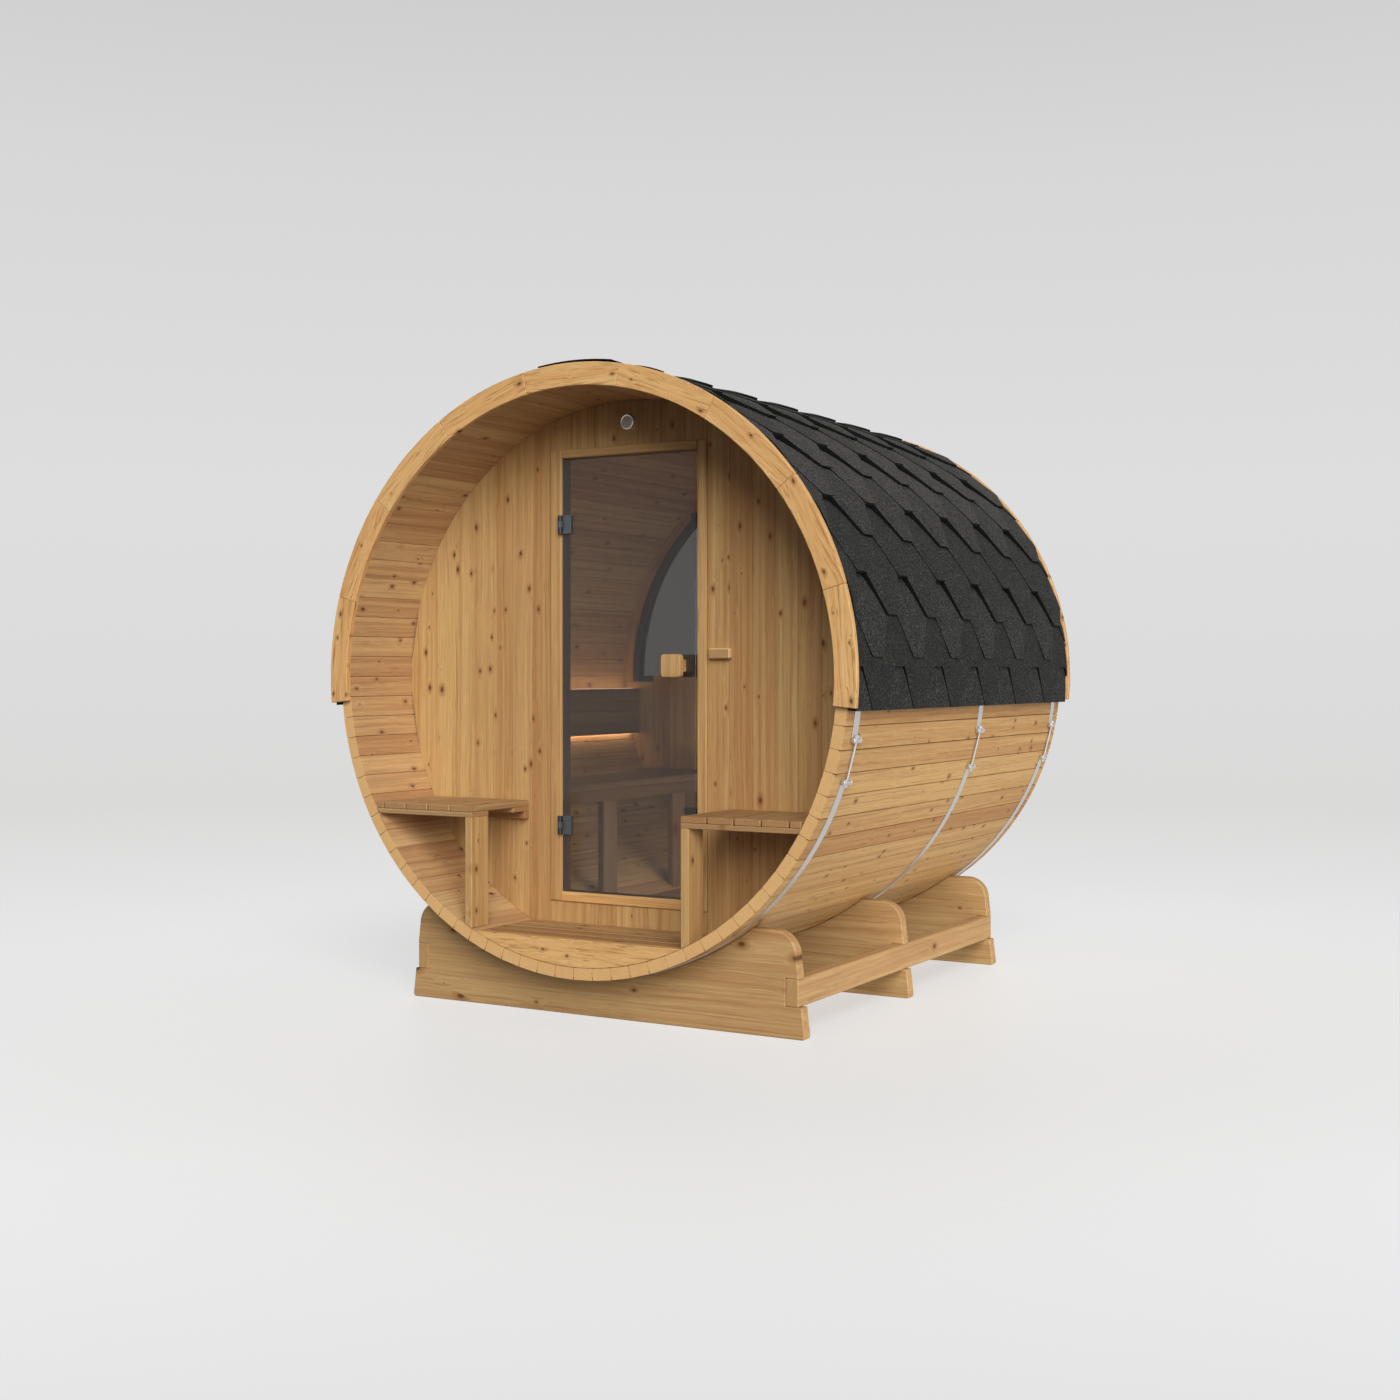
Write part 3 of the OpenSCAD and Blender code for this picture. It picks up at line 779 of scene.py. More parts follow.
    def curved(self, r: np.ndarray, angle: np.ndarray, y: np.ndarray, thick: float, tone: float,
               side: int = 1) -> None:
        """Adds a sheet that lies on the round, its inner face a thickness below its outer one.

        Args:
            r: Outer radii.
            angle: Angles from +X in radians.
            y: Places along the barrel.
            thick: Thickness.
            tone: Lightness.
            side: One for the right, minus one for the mirrored left.
        """
        outer, inner = (wrapped(q, angle, y, side) for q in (r, r - thick))
        self.loft(np.concatenate([outer, inner[:, ::-1]], 1), np.eye(3), tone)

    def finish(self, material: bpy.types.Material, body: str, slot: str, *nodes: str,
               sharp: float = 28.0) -> bpy.types.Object:
        """Makes the object, dresses it and puts it on its body.

        Args:
            material: Its finish.
            body: CAD body that it rides on.
            slot: The record's material slot; not used.
            nodes: CAD nodes that it stands for.
            sharp: Angle in degrees past which an edge is sharp.

        Returns:
            The finished piece.
        """
        mesh = bpy.data.meshes.new(self.name)
        mesh.from_pydata(np.concatenate(self.points), [], self.faces)
        mesh.update()
        grain = mesh.attributes.new("grain", "FLOAT_VECTOR", "POINT")
        grain.data.foreach_set("vector", np.concatenate(self.grains).astype(np.float32).ravel())
        tone = mesh.attributes.new("tone", "FLOAT", "POINT")
        tone.data.foreach_set("value", np.concatenate(self.tones).astype(np.float32))
        cut = mesh.attributes.new("endcut", "FLOAT", "FACE")
        cut.data.foreach_set("value", np.concatenate(self.cuts).astype(np.float32))
        mesh.shade_smooth()
        mesh.set_sharp_from_angle(angle=math.radians(sharp))
        mesh.materials.append(material)
        piece = bpy.data.objects.new(self.name, mesh)
        bpy.context.collection.objects.link(piece)
        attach(piece, body)
        if nodes:
            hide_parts(*nodes)
        log.info("%s: %d faces on %s", self.name, len(self.faces), body)
        return piece


@dataclass
class BarrelShell:
    """The round of staves, and the arc boards that trim its two ends."""

    finishes: Finishes
    staves: int = 84
    joint: float = 0.0008
    groove: float = 0.0018
    reveal: float = 0.0012
    reveal_d: float = 0.010
    edge: float = 0.0008
    end_ease: float = 0.0007
    slit_deg: float = 0.02
    inner_skin: float = 0.002
    trim_boards: int = 9
    trim_r: float = 1.0827
    trim_t: float = 0.021
    drop: float = 5.2

    def build(self) -> None:
        """Builds the staves and both trims."""
        self.build_staves()
        for name, ya in (("front_trim", Y0 - self.trim_t), ("rear_trim", Y1)):
            trim = Timber(name + "_boards", 21 if ya < 0 else 22)
            edges = np.linspace(-self.drop, 180 + self.drop, self.trim_boards + 1)
            for a0, a1 in zip(edges[:-1], edges[1:]):
                trim.arc_board(IN_R, self.trim_r, ya, ya + self.trim_t,
                               a0 + self.slit_deg, a1 - self.slit_deg)
            trim.finish(self.finishes.of("spruce_trim"), "sauna", "trim_wood", name)

    def build_staves(self) -> None:
        """Builds each stave: a wedge outline, eased inside and rebated outside, carried along the barrel."""
        shell = Timber("barrel_staves", 11)
        half = math.pi / self.staves
        step_r, g, c = BARREL_R - self.reveal_d, self.groove, self.edge
        wi, ws, wo = (r * math.tan(half) - self.joint / 2 for r in (IN_R, step_r, BARREL_R))
        left = np.array([[IN_R, -wi + g], [IN_R + g, -wi], [step_r, -ws], [step_r, -ws + self.reveal],
                         [BARREL_R - c, -wo + self.reveal], [BARREL_R, -wo + self.reveal + c]])
        outline = np.concatenate([left, (left * np.array([1.0, -1.0]))[::-1]])
        small = inset(outline, self.end_ease)
        places = ((small, Y0), (outline, Y0 + c), (outline, Y1 - c), (small, Y1))
        for k in range(self.staves):
            a = 2 * half * (k + 0.5) - 2 * math.pi / 3
            out, side = np.array([math.cos(a), 0, math.sin(a)]), np.array([-math.sin(a), 0, math.cos(a)])
            rings = np.stack([o[:, :1] * out + o[:, 1:] * side + np.array([0, y, AXIS_Z])
                              for o, y in places])
            shell.loft(rings, np.array([[0, 1, 0], side, out]))
        names = ("bottom", "lower_right", "upper_right", "top", "upper_left", "lower_left")
        nodes = ["staves_" + name for name in names]
        piece = shell.finish(self.finishes.of("spruce_staves"), "sauna", "stave_wood", *nodes)
        centres = np.empty(3 * len(piece.data.polygons))
        piece.data.polygons.foreach_get("center", centres)
        x, _, z = centres.reshape(-1, 3).T
        # Marks the inner faces, which the spruce dulls to offset the orange of light bounced inside:
        # painted, not the wood's own colour.
        inside = piece.data.attributes.new("inside", "FLOAT", "FACE")
        near = np.hypot(x, z - AXIS_Z) < IN_R + self.inner_skin
        inside.data.foreach_set("value", near.astype(np.float32))


@dataclass
class ShingleRoof:
    """Laminated tooth shingles in courses up both sides, over a backing sheet, with a ridge cap.

    A course's lower edge is a wave of trapezoid teeth along the barrel. Each block of courses has a
    thin under layer and a thick upper layer half a tooth further on, and lies on the block below.
    """

    finishes: Finishes
    period: float = 0.3325
    slant: float = 0.089
    foot: float = 0.079
    rise: float = 0.139
    pitch: float = 0.279
    first: float = 0.173
    arc_r: float = 1.0715
    r_in: float = 1.0485
    eave_r: float = 1.0800
    thin_r: float = 1.0850
    thick_r: float = 1.0860
    drop: float = 5.69
    fold: float = 0.48
    sink: float = 0.0115
    dive: float = 0.024
    bow: float = 0.0172
    starter_h: float = 0.17
    starter_low: float = 0.0035
    starter_lean: float = 0.04
    eave_h: float = 0.32
    eave_flat: float = 0.15
    eave_lean: float = 0.030
    eave_rise: float = 0.142
    eave_phase: float = 0.163
    thin_phase: float = 0.145
    thick_phase: float = -0.029
    backing_t: float = 0.006
    starter_t: float = 0.019
    eave_t: float = 0.010
    thin_t: float = 0.0045
    thick_t: float = 0.020
    lap: float = 0.44
    clear: float = 0.03
    neat: float = 0.01
    start: float = 0.0005
    end_gap: float = 0.012
    apart: float = 0.002
    rows: int = 13
    caps: int = 13
    cap_len: float = 0.25
    cap_half: float = 8.0
    cap_t: float = 0.003
    cap_lift: tuple[float, float] = (0.0085, 0.0035)

    def edge(self, s: np.ndarray, phase: float, low: float, rise: float) -> np.ndarray:
        """The lower edge of a course: flat tooth ends at low, slanting up to flat notches at low plus rise.

        Args:
            s: Places along the barrel from its front.
            phase: Place of a tooth's middle.
            low: Arc height of the tooth ends.
            rise: Height of the teeth.

        Returns:
            Arc height of the edge at each place.
        """
        off = np.abs((s - phase + self.period / 2) % self.period - self.period / 2)
        return low + rise * np.clip((off - self.foot / 2) / self.slant, 0.0, 1.0)

    def under(self, t: np.ndarray, base: float) -> np.ndarray:
        """Outer radius of a block's thin layer, which sinks slowly, then faster below the thick layer."""
        q = (t - base) / self.pitch
        return self.thin_r - self.sink * q - self.dive * np.maximum(q - self.fold, 0.0)

    def over(self, t: np.ndarray, base: float) -> np.ndarray:
        """Outer radius of a block's thick layer.

        From the tooth ends it swells 2 mm and sinks again as a parabola, and then runs level with the
        next block's thin layer, 5 mm below it.

        Args:
            t: Arc heights.
            base: Arc height of the block's foot.

        Returns:
            The radius at each arc height.
        """
        q = (t - base) / self.pitch
        w = np.clip((q - self.fold) / (1.0 - self.fold), 0.0, 1.0)
        return self.thick_r + self.sink * w - self.bow * w ** 2 - self.sink * np.maximum(q - 1.0, 0.0)

    def course(self, sheet: Timber, side: int, phase: float, low: float, top: float, rise: float,
               radius: Callable[[np.ndarray], np.ndarray], thick: float, tone: float) -> None:
        """Adds one course: a grid of place along and arc height, wrapped on the round, with its thickness.

        Args:
            sheet: The set that gets it.
            side: One for the right slope, minus one for the left.
            phase: Place of a tooth's middle.
            low: Arc height of the tooth ends.
            top: Arc height of its hidden upper edge.
            rise: Height of the teeth, zero for a straight edge.
            radius: Outer radius as a function of arc height.
            thick: Thickness.
            tone: Lightness.
        """
        marks = self.foot / 2 * np.array([-1, -1, 1, 1]) + self.slant * np.array([-1, 0, 0, 1])
        s = (phase + marks[None, :] + self.period * np.arange(-2, 9)[:, None]).ravel()
        end = BARREL_LEN - self.end_gap
        s = np.concatenate([[self.start, end], s[(s > self.apart) & (s < end - self.apart)]])
        s = np.unique(np.round(s, 5))
        v = np.linspace(0.0, 1.0, self.rows)
        lower = self.edge(s, phase, low, rise)
        t = top + v[None, :] * (lower[:, None] - top)
        angle = math.radians(-self.drop) + t / self.arc_r
        sheet.curved(radius(t), angle, Y0 + s[:, None], thick, tone, side)
        # The lower edge's faces are marked as cut so that they turn near black: partly the bitumen's core,
        # partly painted shade under the tabs.
        lower_edge = sheet.cuts[-1][:-2].reshape(len(s) - 1, 2 * len(v))
        lower_edge[:, len(v) - 1] = 1.0

    def build(self) -> None:
        """Builds the backing, the eave row, the blocks of courses and the ridge cap."""
        sheet = Timber("shingle_roof", 31)
        ridge = self.arc_r * math.radians(90 + self.drop)
        rng = np.random.default_rng(32)
        for side in (1, -1):
            self.eave(sheet, side, ridge, rng)
            block = 0
            while self.first + block * self.pitch < ridge - self.clear:
                base = self.first + block * self.pitch
                top = min(base + self.lap, ridge)
                self.course(sheet, side, self.thin_phase, base, top, min(self.rise, top - base - self.neat),
                            lambda t, b=base: self.under(t, b), self.thin_t, float(rng.uniform(-1, 1)))
                foot = base + self.rise
                if foot < ridge - self.clear:
                    rise = min(self.rise, top - foot - self.neat)
                    self.course(sheet, side, self.thick_phase, foot, top, rise,
                                lambda t, b=base: self.over(t, b), self.thick_t, float(rng.uniform(-1, 1)))
                block += 1
        self.ridge_cap(sheet, rng)
        sheet.finish(self.finishes.of("bitumen_shingle"), "sauna", "shingle", "roof", sharp=35.0)

    def eave(self, sheet: Timber, side: int, ridge: float, rng: np.random.Generator) -> None:
        """Adds the backing under all courses, the starter strip at the eave and the eave's own row of teeth.

        Args:
            sheet: The set that gets them.
            side: One for the right slope, minus one for the left.
            ridge: Arc height of the ridge.
            rng: Seeded source of the row's tone.
        """
        self.course(sheet, side, 0.0, 0.0, ridge, 0.0,
                    lambda t: np.full_like(t, self.r_in + self.backing_t), self.backing_t, -0.3)
        self.course(sheet, side, 0.0, 0.0, self.starter_h, 0.0,
                    lambda t: self.eave_r - self.starter_low - self.starter_lean * t, self.starter_t, -0.2)
        self.course(sheet, side, self.eave_phase, 0.0, self.eave_h, self.eave_rise,
                    lambda t: self.eave_r - self.eave_lean * np.maximum(t - self.eave_flat, 0.0),
                    self.eave_t, float(rng.uniform(-1, 1)))

    def ridge_cap(self, sheet: Timber, rng: np.random.Generator) -> None:
        """Adds overlapping cap tabs along the ridge, each an arc 0.3 m wide that rises towards its free end.

        Args:
            sheet: The set that gets them.
            rng: Seeded source of their tones.
        """
        angle = np.radians(np.linspace(90.0 - self.cap_half, 90.0 + self.cap_half, 9))
        r = self.thick_r + np.array(self.cap_lift)
        for s in np.linspace(HAIR, BARREL_LEN - self.end_gap - HAIR - self.cap_len, self.caps):
            y = Y0 + np.array([s, s + self.cap_len])
            sheet.curved(r[:, None], angle, y[:, None], self.cap_t, float(rng.uniform(-1, 1)))


@dataclass
class Bands:
    """Three steel bands with folded ends, cross pins, nuts and the threaded rods that draw them tight."""

    finishes: Finishes
    places: tuple[float, ...] = (Y0 + 0.079, 0.137, Y1 - 0.079)
    r: float = 1.0460
    width: float = 0.040
    thick: float = 0.0015
    lug_r: float = 0.008
    upper: float = -11.0
    lower: float = -18.6
    seat: float = 0.0003
    edge: float = 0.0004
    fold: tuple[float, float] = (0.12, 1.35 * math.pi)
    tip: float = 0.85
    pin: tuple[float, float] = (0.027, 0.0065)
    cap: tuple[tuple[float, float], ...] = ((0.0205, 0.0090), (0.0212, 0.0100), (0.0250, 0.0100),
                                            (0.0255, 0.0085))
    rod_r: float = 0.004
    rod_out: float = 0.018
    nut_r: float = 0.0078
    nut: tuple[float, float] = (0.0085, 0.014)

    def build(self) -> None:
        """Builds the bands and their tensioners."""
        strips, lugs = Timber("steel_bands", 41), Timber("band_tensioners", 42)
        at = self.r + self.thick + self.lug_r + self.seat
        curl = self.lug_r + self.thick / 2
        body = np.radians(np.linspace(self.upper, self.lower + 360.0, 181))
        arc = np.stack([np.cos(body), np.sin(body)], 1) * (self.r + self.thick / 2)
        upper, lower = self.hook(self.upper, at, curl, 1), self.hook(self.lower, at, curl, -1)
        path = np.concatenate([upper[::-1], arc, lower])
        ahead = np.gradient(path, axis=0)
        ahead /= np.linalg.norm(ahead, axis=1, keepdims=True)
        normal = np.stack([ahead[:, 1], -ahead[:, 0]], 1)
        outline = chamfered(self.width, self.thick, self.edge)
        for y in self.places:
            flat = path[:, None, :] + outline[None, :, 1:] * normal[:, None, :]
            across = np.broadcast_to(y + outline[:, 0], flat.shape[:2])
            strips.loft(np.stack([flat[..., 0], across, flat[..., 1] + AXIS_Z], -1), np.eye(3), 0.0)
            self.tensioner(lugs, y, at)
        strips.finish(self.finishes.of("bright_band_steel"), "sauna", "band_steel", "bands")
        lugs.finish(self.finishes.of("zinc_bolts"), "sauna", "band_steel", "tensioners")

    def hook(self, angle: float, at: float, curl: float, turn: int) -> np.ndarray:
        """The folded end of a band: a circle about its pin, from the side next to the barrel outwards.

        Args:
            angle: Place of the pin in degrees.
            at: Radius of the pin's centre.
            curl: Radius of the fold.
            turn: Which way it curls.

        Returns:
            Points of the fold in the plane across the barrel.
        """
        a = math.radians(angle)
        sweep = math.pi + a + turn * np.linspace(*self.fold, 16)
        pin = at * np.array([math.cos(a), math.sin(a)])
        return pin + curl * np.stack([np.cos(sweep), np.sin(sweep)], 1)

    def tensioner(self, lugs: Timber, y: float, at: float) -> None:
        """Adds the two cross pins with their nuts, and the rod between them.

        Args:
            lugs: The set that gets them.
            y: Middle of the band.
            at: Radius of the pins' centres.
        """
        turns = (math.radians(q) for q in (self.upper, self.lower))
        a, b = (np.array([at * math.cos(q), y, AXIS_Z + at * math.sin(q)]) for q in turns)
        reach, r = self.pin
        for p in (a, b):
            ends = [(-reach, r - HAIR), (-reach + HAIR, r), (reach - HAIR, r), (reach, r - HAIR)]
            lugs.turned(p, Axis.Y, ends, 16)
            lugs.turned(p, Axis.Y, [(-place, size) for place, size in self.cap[::-1]], 6)
            lugs.turned(p, Axis.Y, self.cap, 6)
        span = np.linalg.norm(a - b)
        line = (a - b) / span
        side = np.array([0.0, 1.0, 0.0])
        out = np.cross(line, side)
        near, far = self.nut
        for lo, hi, r, n in ((-self.rod_out, span + self.rod_out, self.rod_r, 12),
                             (-far, -near, self.nut_r, 6), (span + near, span + far, self.nut_r, 6)):
            turn = np.linspace(0, 2 * np.pi, n, endpoint=False)
            places = np.array([lo, lo + HAIR, hi - HAIR, hi])
            radii = r * np.array([self.tip, 1.0, 1.0, self.tip])
            round_it = np.cos(turn)[:, None] * side + np.sin(turn)[:, None] * out
            lugs.loft(b + places[:, None, None] * line + radii[:, None, None] * round_it, np.eye(3), 0.2)


@dataclass
class Cradles:
    """Three sawn cradle planks with rounded ears, and the two runners let into them."""

    finishes: Finishes
    thick: float = 0.046
    ear_w: float = 0.78793
    flare: float = 0.030
    ear_z: float = 0.357
    ear_r: float = 0.084
    seat_r: float = 1.0461
    set_in: float = 0.142
    ease: float = 0.003
    foot_h: float = 0.018
    foot_r: float = 0.008
    foot_c: float = 0.0023
    runner: tuple[float, float, float, float] = (0.74793, 0.79593, 0.106, 0.200)

    def build(self) -> None:
        """Builds the planks and the runners."""
        planks, runners = Timber("cradle_planks", 51), Timber("cradle_runners", 52)
        outline = self.outline()
        for k, y in enumerate((Y0 + self.set_in, -self.thick / 2, Y1 - self.set_in - self.thick)):
            planks.slab(outline, y, y + self.thick, self.ease, 0.1 + 0.1 * k)
        planks.finish(self.finishes.of("spruce_cradle"), "sauna", "cradle_wood", "cradles")
        x0, x1, z0, z1 = self.runner
        for side in (-1, 1):
            xa, xb = sorted((side * x0, side * x1))
            runners.bar(Axis.Y, (xa, Y0 + self.set_in, z0), (xb, Y1 - self.set_in, z1), BROAD_EDGE,
                        tone=0.2)
        runners.finish(self.finishes.of("spruce_cradle"), "sauna", "cradle_wood", "runners")

    def outline(self) -> np.ndarray:
        """The outline of a plank: foot, flared side with the runner's notch, ear arc and round, mirrored.

        Returns:
            Counter-clockwise points of X and Z.
        """
        foot = self.ear_w + self.flare
        x0, _, z0, z1 = self.runner
        corner_z = self.ear_z - self.ear_r
        share = (np.array([z0, z1]) - self.foot_h) / (corner_z - self.foot_h)
        low_x, high_x = foot + (self.ear_w - foot) * share
        bend = np.linspace(0.0, np.pi / 2, 12)
        ear_x = self.ear_w - self.ear_r + self.ear_r * np.cos(bend)
        ear = np.stack([ear_x, corner_z + self.ear_r * np.sin(bend)], 1)
        x = np.linspace(math.sqrt(self.seat_r ** 2 - (AXIS_Z - self.ear_z) ** 2), 0.0, 22)
        seat = np.stack([x, AXIS_Z - np.sqrt(self.seat_r ** 2 - x ** 2)], 1)
        side = np.array([[foot - self.foot_r, 0.0], [foot - self.foot_c, self.foot_c],
                         [foot, self.foot_r], [foot, self.foot_h],
                         [low_x, z0], [x0, z0], [x0, z1], [high_x, z1]])
        right = np.concatenate([side, ear, seat])
        left = (right * np.array([-1.0, 1.0]))[::-1][1:]
        return np.concatenate([right, left])


@dataclass
class FrontWall:
    """The porch wall of upright tongued boards, split round the doorway, with its lamp and peg."""

    finishes: Finishes
    pitch: float = WALL_PITCH
    narrowest: float = 0.004
    rim: tuple[tuple[float, float], ...] = (
        (0.0, 0.0275), (-0.002, 0.028), (-0.0085, 0.028), (-0.0112, 0.0268), (-0.0120, 0.0248),
        (-0.0112, 0.0232), (-0.0090, 0.0226))
    diffuser: tuple[tuple[float, float], ...] = (
        (-0.0088, 0.0224), (-0.0094, 0.0222), (-0.0103, 0.018), (-0.0108, 0.010), (-0.0109, 0.002))

    def build(self) -> None:
        """Builds the four parts of the wall, the lamp and the peg."""
        self.part("wall_left", -FIT_R, FRAME_XL, None, None, 61)
        self.part("wall_right", FRAME_XR, FIT_R, None, None, 62)
        self.part("wall_head", FRAME_XL, FRAME_XR, FRAME_ZT, None, 63)
        self.part("wall_base", FRAME_XL, FRAME_XR, None, FRAME_ZB, 64)
        self.fittings()

    def part(self, node: str, xa: float, xb: float, bottom: float | None, top: float | None,
             seed: int) -> None:
        """Builds one part of the wall, its boards' ends cut to the round where they meet it.

        Args:
            node: The CAD node that it stands for.
            xa: Left edge.
            xb: Right edge.
            bottom: Square bottom, or None for the round.
            top: Square top, or None for the round.
            seed: Seed of its boards.
        """
        boards = Timber(node + "_boards", seed)
        from_door = -1 if xb <= FRAME_XL + 1e-6 else 1
        count = max(1, round((xb - xa) / self.pitch))
        step = (xb - xa) / count if max(abs(xa), abs(xb)) < FIT_R - 1e-6 else self.pitch
        edges = xa + step * np.arange(count + 2) if from_door > 0 else xb - step * np.arange(count + 2)
        edges = np.unique(np.clip(np.sort(edges), xa, xb))
        for a, b in zip(edges[:-1], edges[1:]):
            if b - a < self.narrowest:
                continue
            boards.bar(Axis.Z, (a + HALF_SLIT, WALL_Y, bottom or 0.0), (b - HALF_SLIT, IN_Y0, top or 0.0),
                       min(WALL_CUT, (b - a) / 6), 7,
                       None if bottom else circle_heights(-1), None if top else circle_heights(1))
        boards.finish(self.finishes.of("spruce_wall"), "sauna", "wall_wood", node)

    def fittings(self) -> None:
        """Builds the round lamp over the door and the wooden peg beside it."""
        lo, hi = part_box("wall_lamp")
        mid = ((lo[0] + hi[0]) / 2, WALL_Y, (lo[2] + hi[2]) / 2)
        lamp, rim = Timber("porch_lamp", 65), Timber("porch_lamp_rim", 66)
        rim.turned(mid, Axis.Y, self.rim, 48)
        rim.finish(self.finishes.of("zinc_bolts"), "sauna", "lamp_glass")
        lamp.turned(mid, Axis.Y, self.diffuser, 48)
        lamp.finish(self.finishes.of("lamp_diffuser"), "sauna", "lamp_glass", "wall_lamp")
        peg = Timber("wall_peg_block", 66)
        lo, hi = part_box("wall_peg")
        peg.bar(Axis.Y, lo, hi, BROAD_EDGE, tone=0.4)
        peg.finish(self.finishes.of("pale_peg"), "sauna", "knob_wood", "wall_peg")


@dataclass
class DoorFrame:
    """Jambs, head, sill, thin grey sheets on the frame's inner faces behind the pane as painted shade, and
    the two magnetic catches.
    """

    finishes: Finishes
    depth: float = 0.062
    sill_h: float = 0.036
    head_h: float = 0.032
    # Thickness, edge and depth span of the grey sheets that paint shade on the frame's inner faces.
    shade_sheet_t: float = 0.001
    shade_sheet_edge: float = 0.0002
    low_catch_h: float = 0.025
    high_catch: tuple[float, float] = (0.032, 0.040)
    shade_sheet_y: tuple[float, float] = (0.012, 0.0615)

    def build(self) -> None:
        """Builds the frame's members from the places of their CAD nodes."""
        jambs = Timber("door_jambs", 71)
        for xa, xb in ((FRAME_XL, FRAME_XL + LEFT_JAMB), (FRAME_XR - RIGHT_JAMB, FRAME_XR)):
            jambs.bar(Axis.Z, (xa, FRAME_Y, FRAME_ZB), (xb, FRAME_Y + self.depth, FRAME_ZT), BROAD_EDGE,
                      tone=0.3)
        jambs.finish(self.finishes.of("spruce_frame"), "sauna", "frame_wood", "frame_jambs")
        for name, node, seed, wood in (("door_head", "frame_head", 72, "spruce_frame"),
                                       ("door_sill", "frame_sill", 73, "spruce_sill")):
            member = Timber(name, seed)
            lo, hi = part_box(node)
            member.bar(Axis.X, lo, hi, WIDE_EDGE, tone=0.35)
            member.finish(self.finishes.of(wood), "sauna", "frame_wood", node)
        self.jamb_shade_sheets()
        self.catches()

    def jamb_shade_sheets(self) -> None:
        """Lays a thin grey sheet on each inner face of the frame behind the pane: painted shade for those
        faces.
        """
        jamb_shade_sheets = Timber("door_jamb_shade_sheets", 74)
        xa, xb = FRAME_XL + LEFT_JAMB, FRAME_XR - RIGHT_JAMB
        za, zb = FRAME_ZB + self.sill_h, FRAME_ZT - self.head_h
        ya, yb = (FRAME_Y + y for y in self.shade_sheet_y)
        t = self.shade_sheet_t
        for x in (xa, xb - t):
            jamb_shade_sheets.bar(Axis.Z, (x, ya, za), (x + t, yb, zb), self.shade_sheet_edge, tone=0.0)
        for z in (za, zb - t):
            jamb_shade_sheets.bar(Axis.X, (xa + t, ya, z), (xb - t, yb, z + t), self.shade_sheet_edge, tone=0.0)
        jamb_shade_sheets.finish(self.finishes.of("jamb_shade_grey"), "sauna", "catch_plastic")

    def catches(self) -> None:
        """Builds the low catch that lies and the high catch that stands."""
        catches = Timber("door_catch_blocks", 75)
        lo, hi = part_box("door_catches")
        w, h = self.high_catch
        catches.bar(Axis.X, lo, (hi[0], hi[1], lo[2] + self.low_catch_h), SMALL_EDGE, tone=0.0)
        catches.bar(Axis.Z, (hi[0] - w, lo[1], hi[2] - h), hi, SMALL_EDGE, tone=0.0)
        catches.finish(self.finishes.of("black_catch_plastic"), "sauna", "catch_plastic", "door_catches")


@dataclass
class Door:
    """The tinted glass leaf with its pair of wooden knobs and its hinges."""

    finishes: Finishes
    knob: float = 0.082
    neck: float = 0.044
    head: float = 0.027
    ease: float = 0.005
    power: float = 0.28
    around: int = 48
    pane_edge: float = 0.0012

    def build(self) -> None:
        """Builds the pane and knobs, and dresses the hinges."""
        lo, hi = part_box("door_glass")
        pane = Timber("door_pane", 81)
        pane.bar(Axis.Z, lo, hi, self.pane_edge, tone=0.0)
        pane.finish(self.finishes.of("bronze_tinted_glass"), "door", "tinted_glass", "door_glass")
        self.knobs(lo[1], hi[1])
        for node, finish in (("hinge_plates", "dark_hinge_metal"), ("hinge_leaves", "grey_hinge_metal")):
            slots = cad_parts[node].data.materials
            slots.clear()
            slots.append(self.finishes.of(finish))
            log.info("%s dressed", node)

    def knobs(self, front: float, back: float) -> None:
        """Builds a knob on each face: a square neck, then a square with rounded corners and edges.

        Rings are superellipses, the fourth root law of X and Z, whose size follows a rounded edge along Y.

        Args:
            front: Front face of the glass.
            back: Rear face of the glass.
        """
        lo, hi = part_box("door_knobs")
        x, z = (lo[0] + hi[0]) / 2, (lo[2] + hi[2]) / 2
        outer, inner = Timber("door_knob_front", 82), Timber("door_knob_back", 83)
        turn = np.linspace(0, 2 * np.pi, self.around, endpoint=False)
        c, s = np.cos(turn), np.sin(turn)
        square = np.stack([np.sign(q) * np.abs(q) ** self.power for q in (c, s)], 1)
        rounding = np.linspace(0, np.pi / 2, 5)
        back_edge, front_edge = self.ease * np.cos(rounding), self.ease * np.sin(rounding)
        for knob, face, sign, end in ((outer, front, -1, lo[1]), (inner, back, 1, hi[1])):
            neck = abs(end - face) - self.head
            half, ys = self.neck / 2, sorted((face, face + sign * (neck + HAIR)))
            knob.bar(Axis.Y, (x - half, ys[0], z - half), (x + half, ys[1], z + half), WIDE_EDGE, tone=0.3)
            along = neck + np.concatenate([self.ease - back_edge, self.head - self.ease + front_edge])
            size = self.knob / 2 - self.ease + np.concatenate([front_edge, back_edge])
            rings = np.empty((len(along), self.around, 3))
            rings[..., 0] = x + size[:, None] * square[:, 0]
            rings[..., 1] = (face + sign * along)[:, None]
            rings[..., 2] = z + size[:, None] * square[:, 1]
            knob.loft(rings, np.array([[0, 0, 1.0], [1, 0, 0], [0, 1, 0]]), 0.4)
            knob.cuts = [np.zeros_like(q) for q in knob.cuts]
        outer.finish(self.finishes.of("spruce_knob"), "door", "knob_wood", "door_knobs", sharp=40.0)
        # The inner knob gets the darker spruce as painted shade; the outer one keeps the plain spruce.
        inner.finish(self.finishes.of("shade_dark_spruce"), "door", "knob_wood", sharp=40.0)


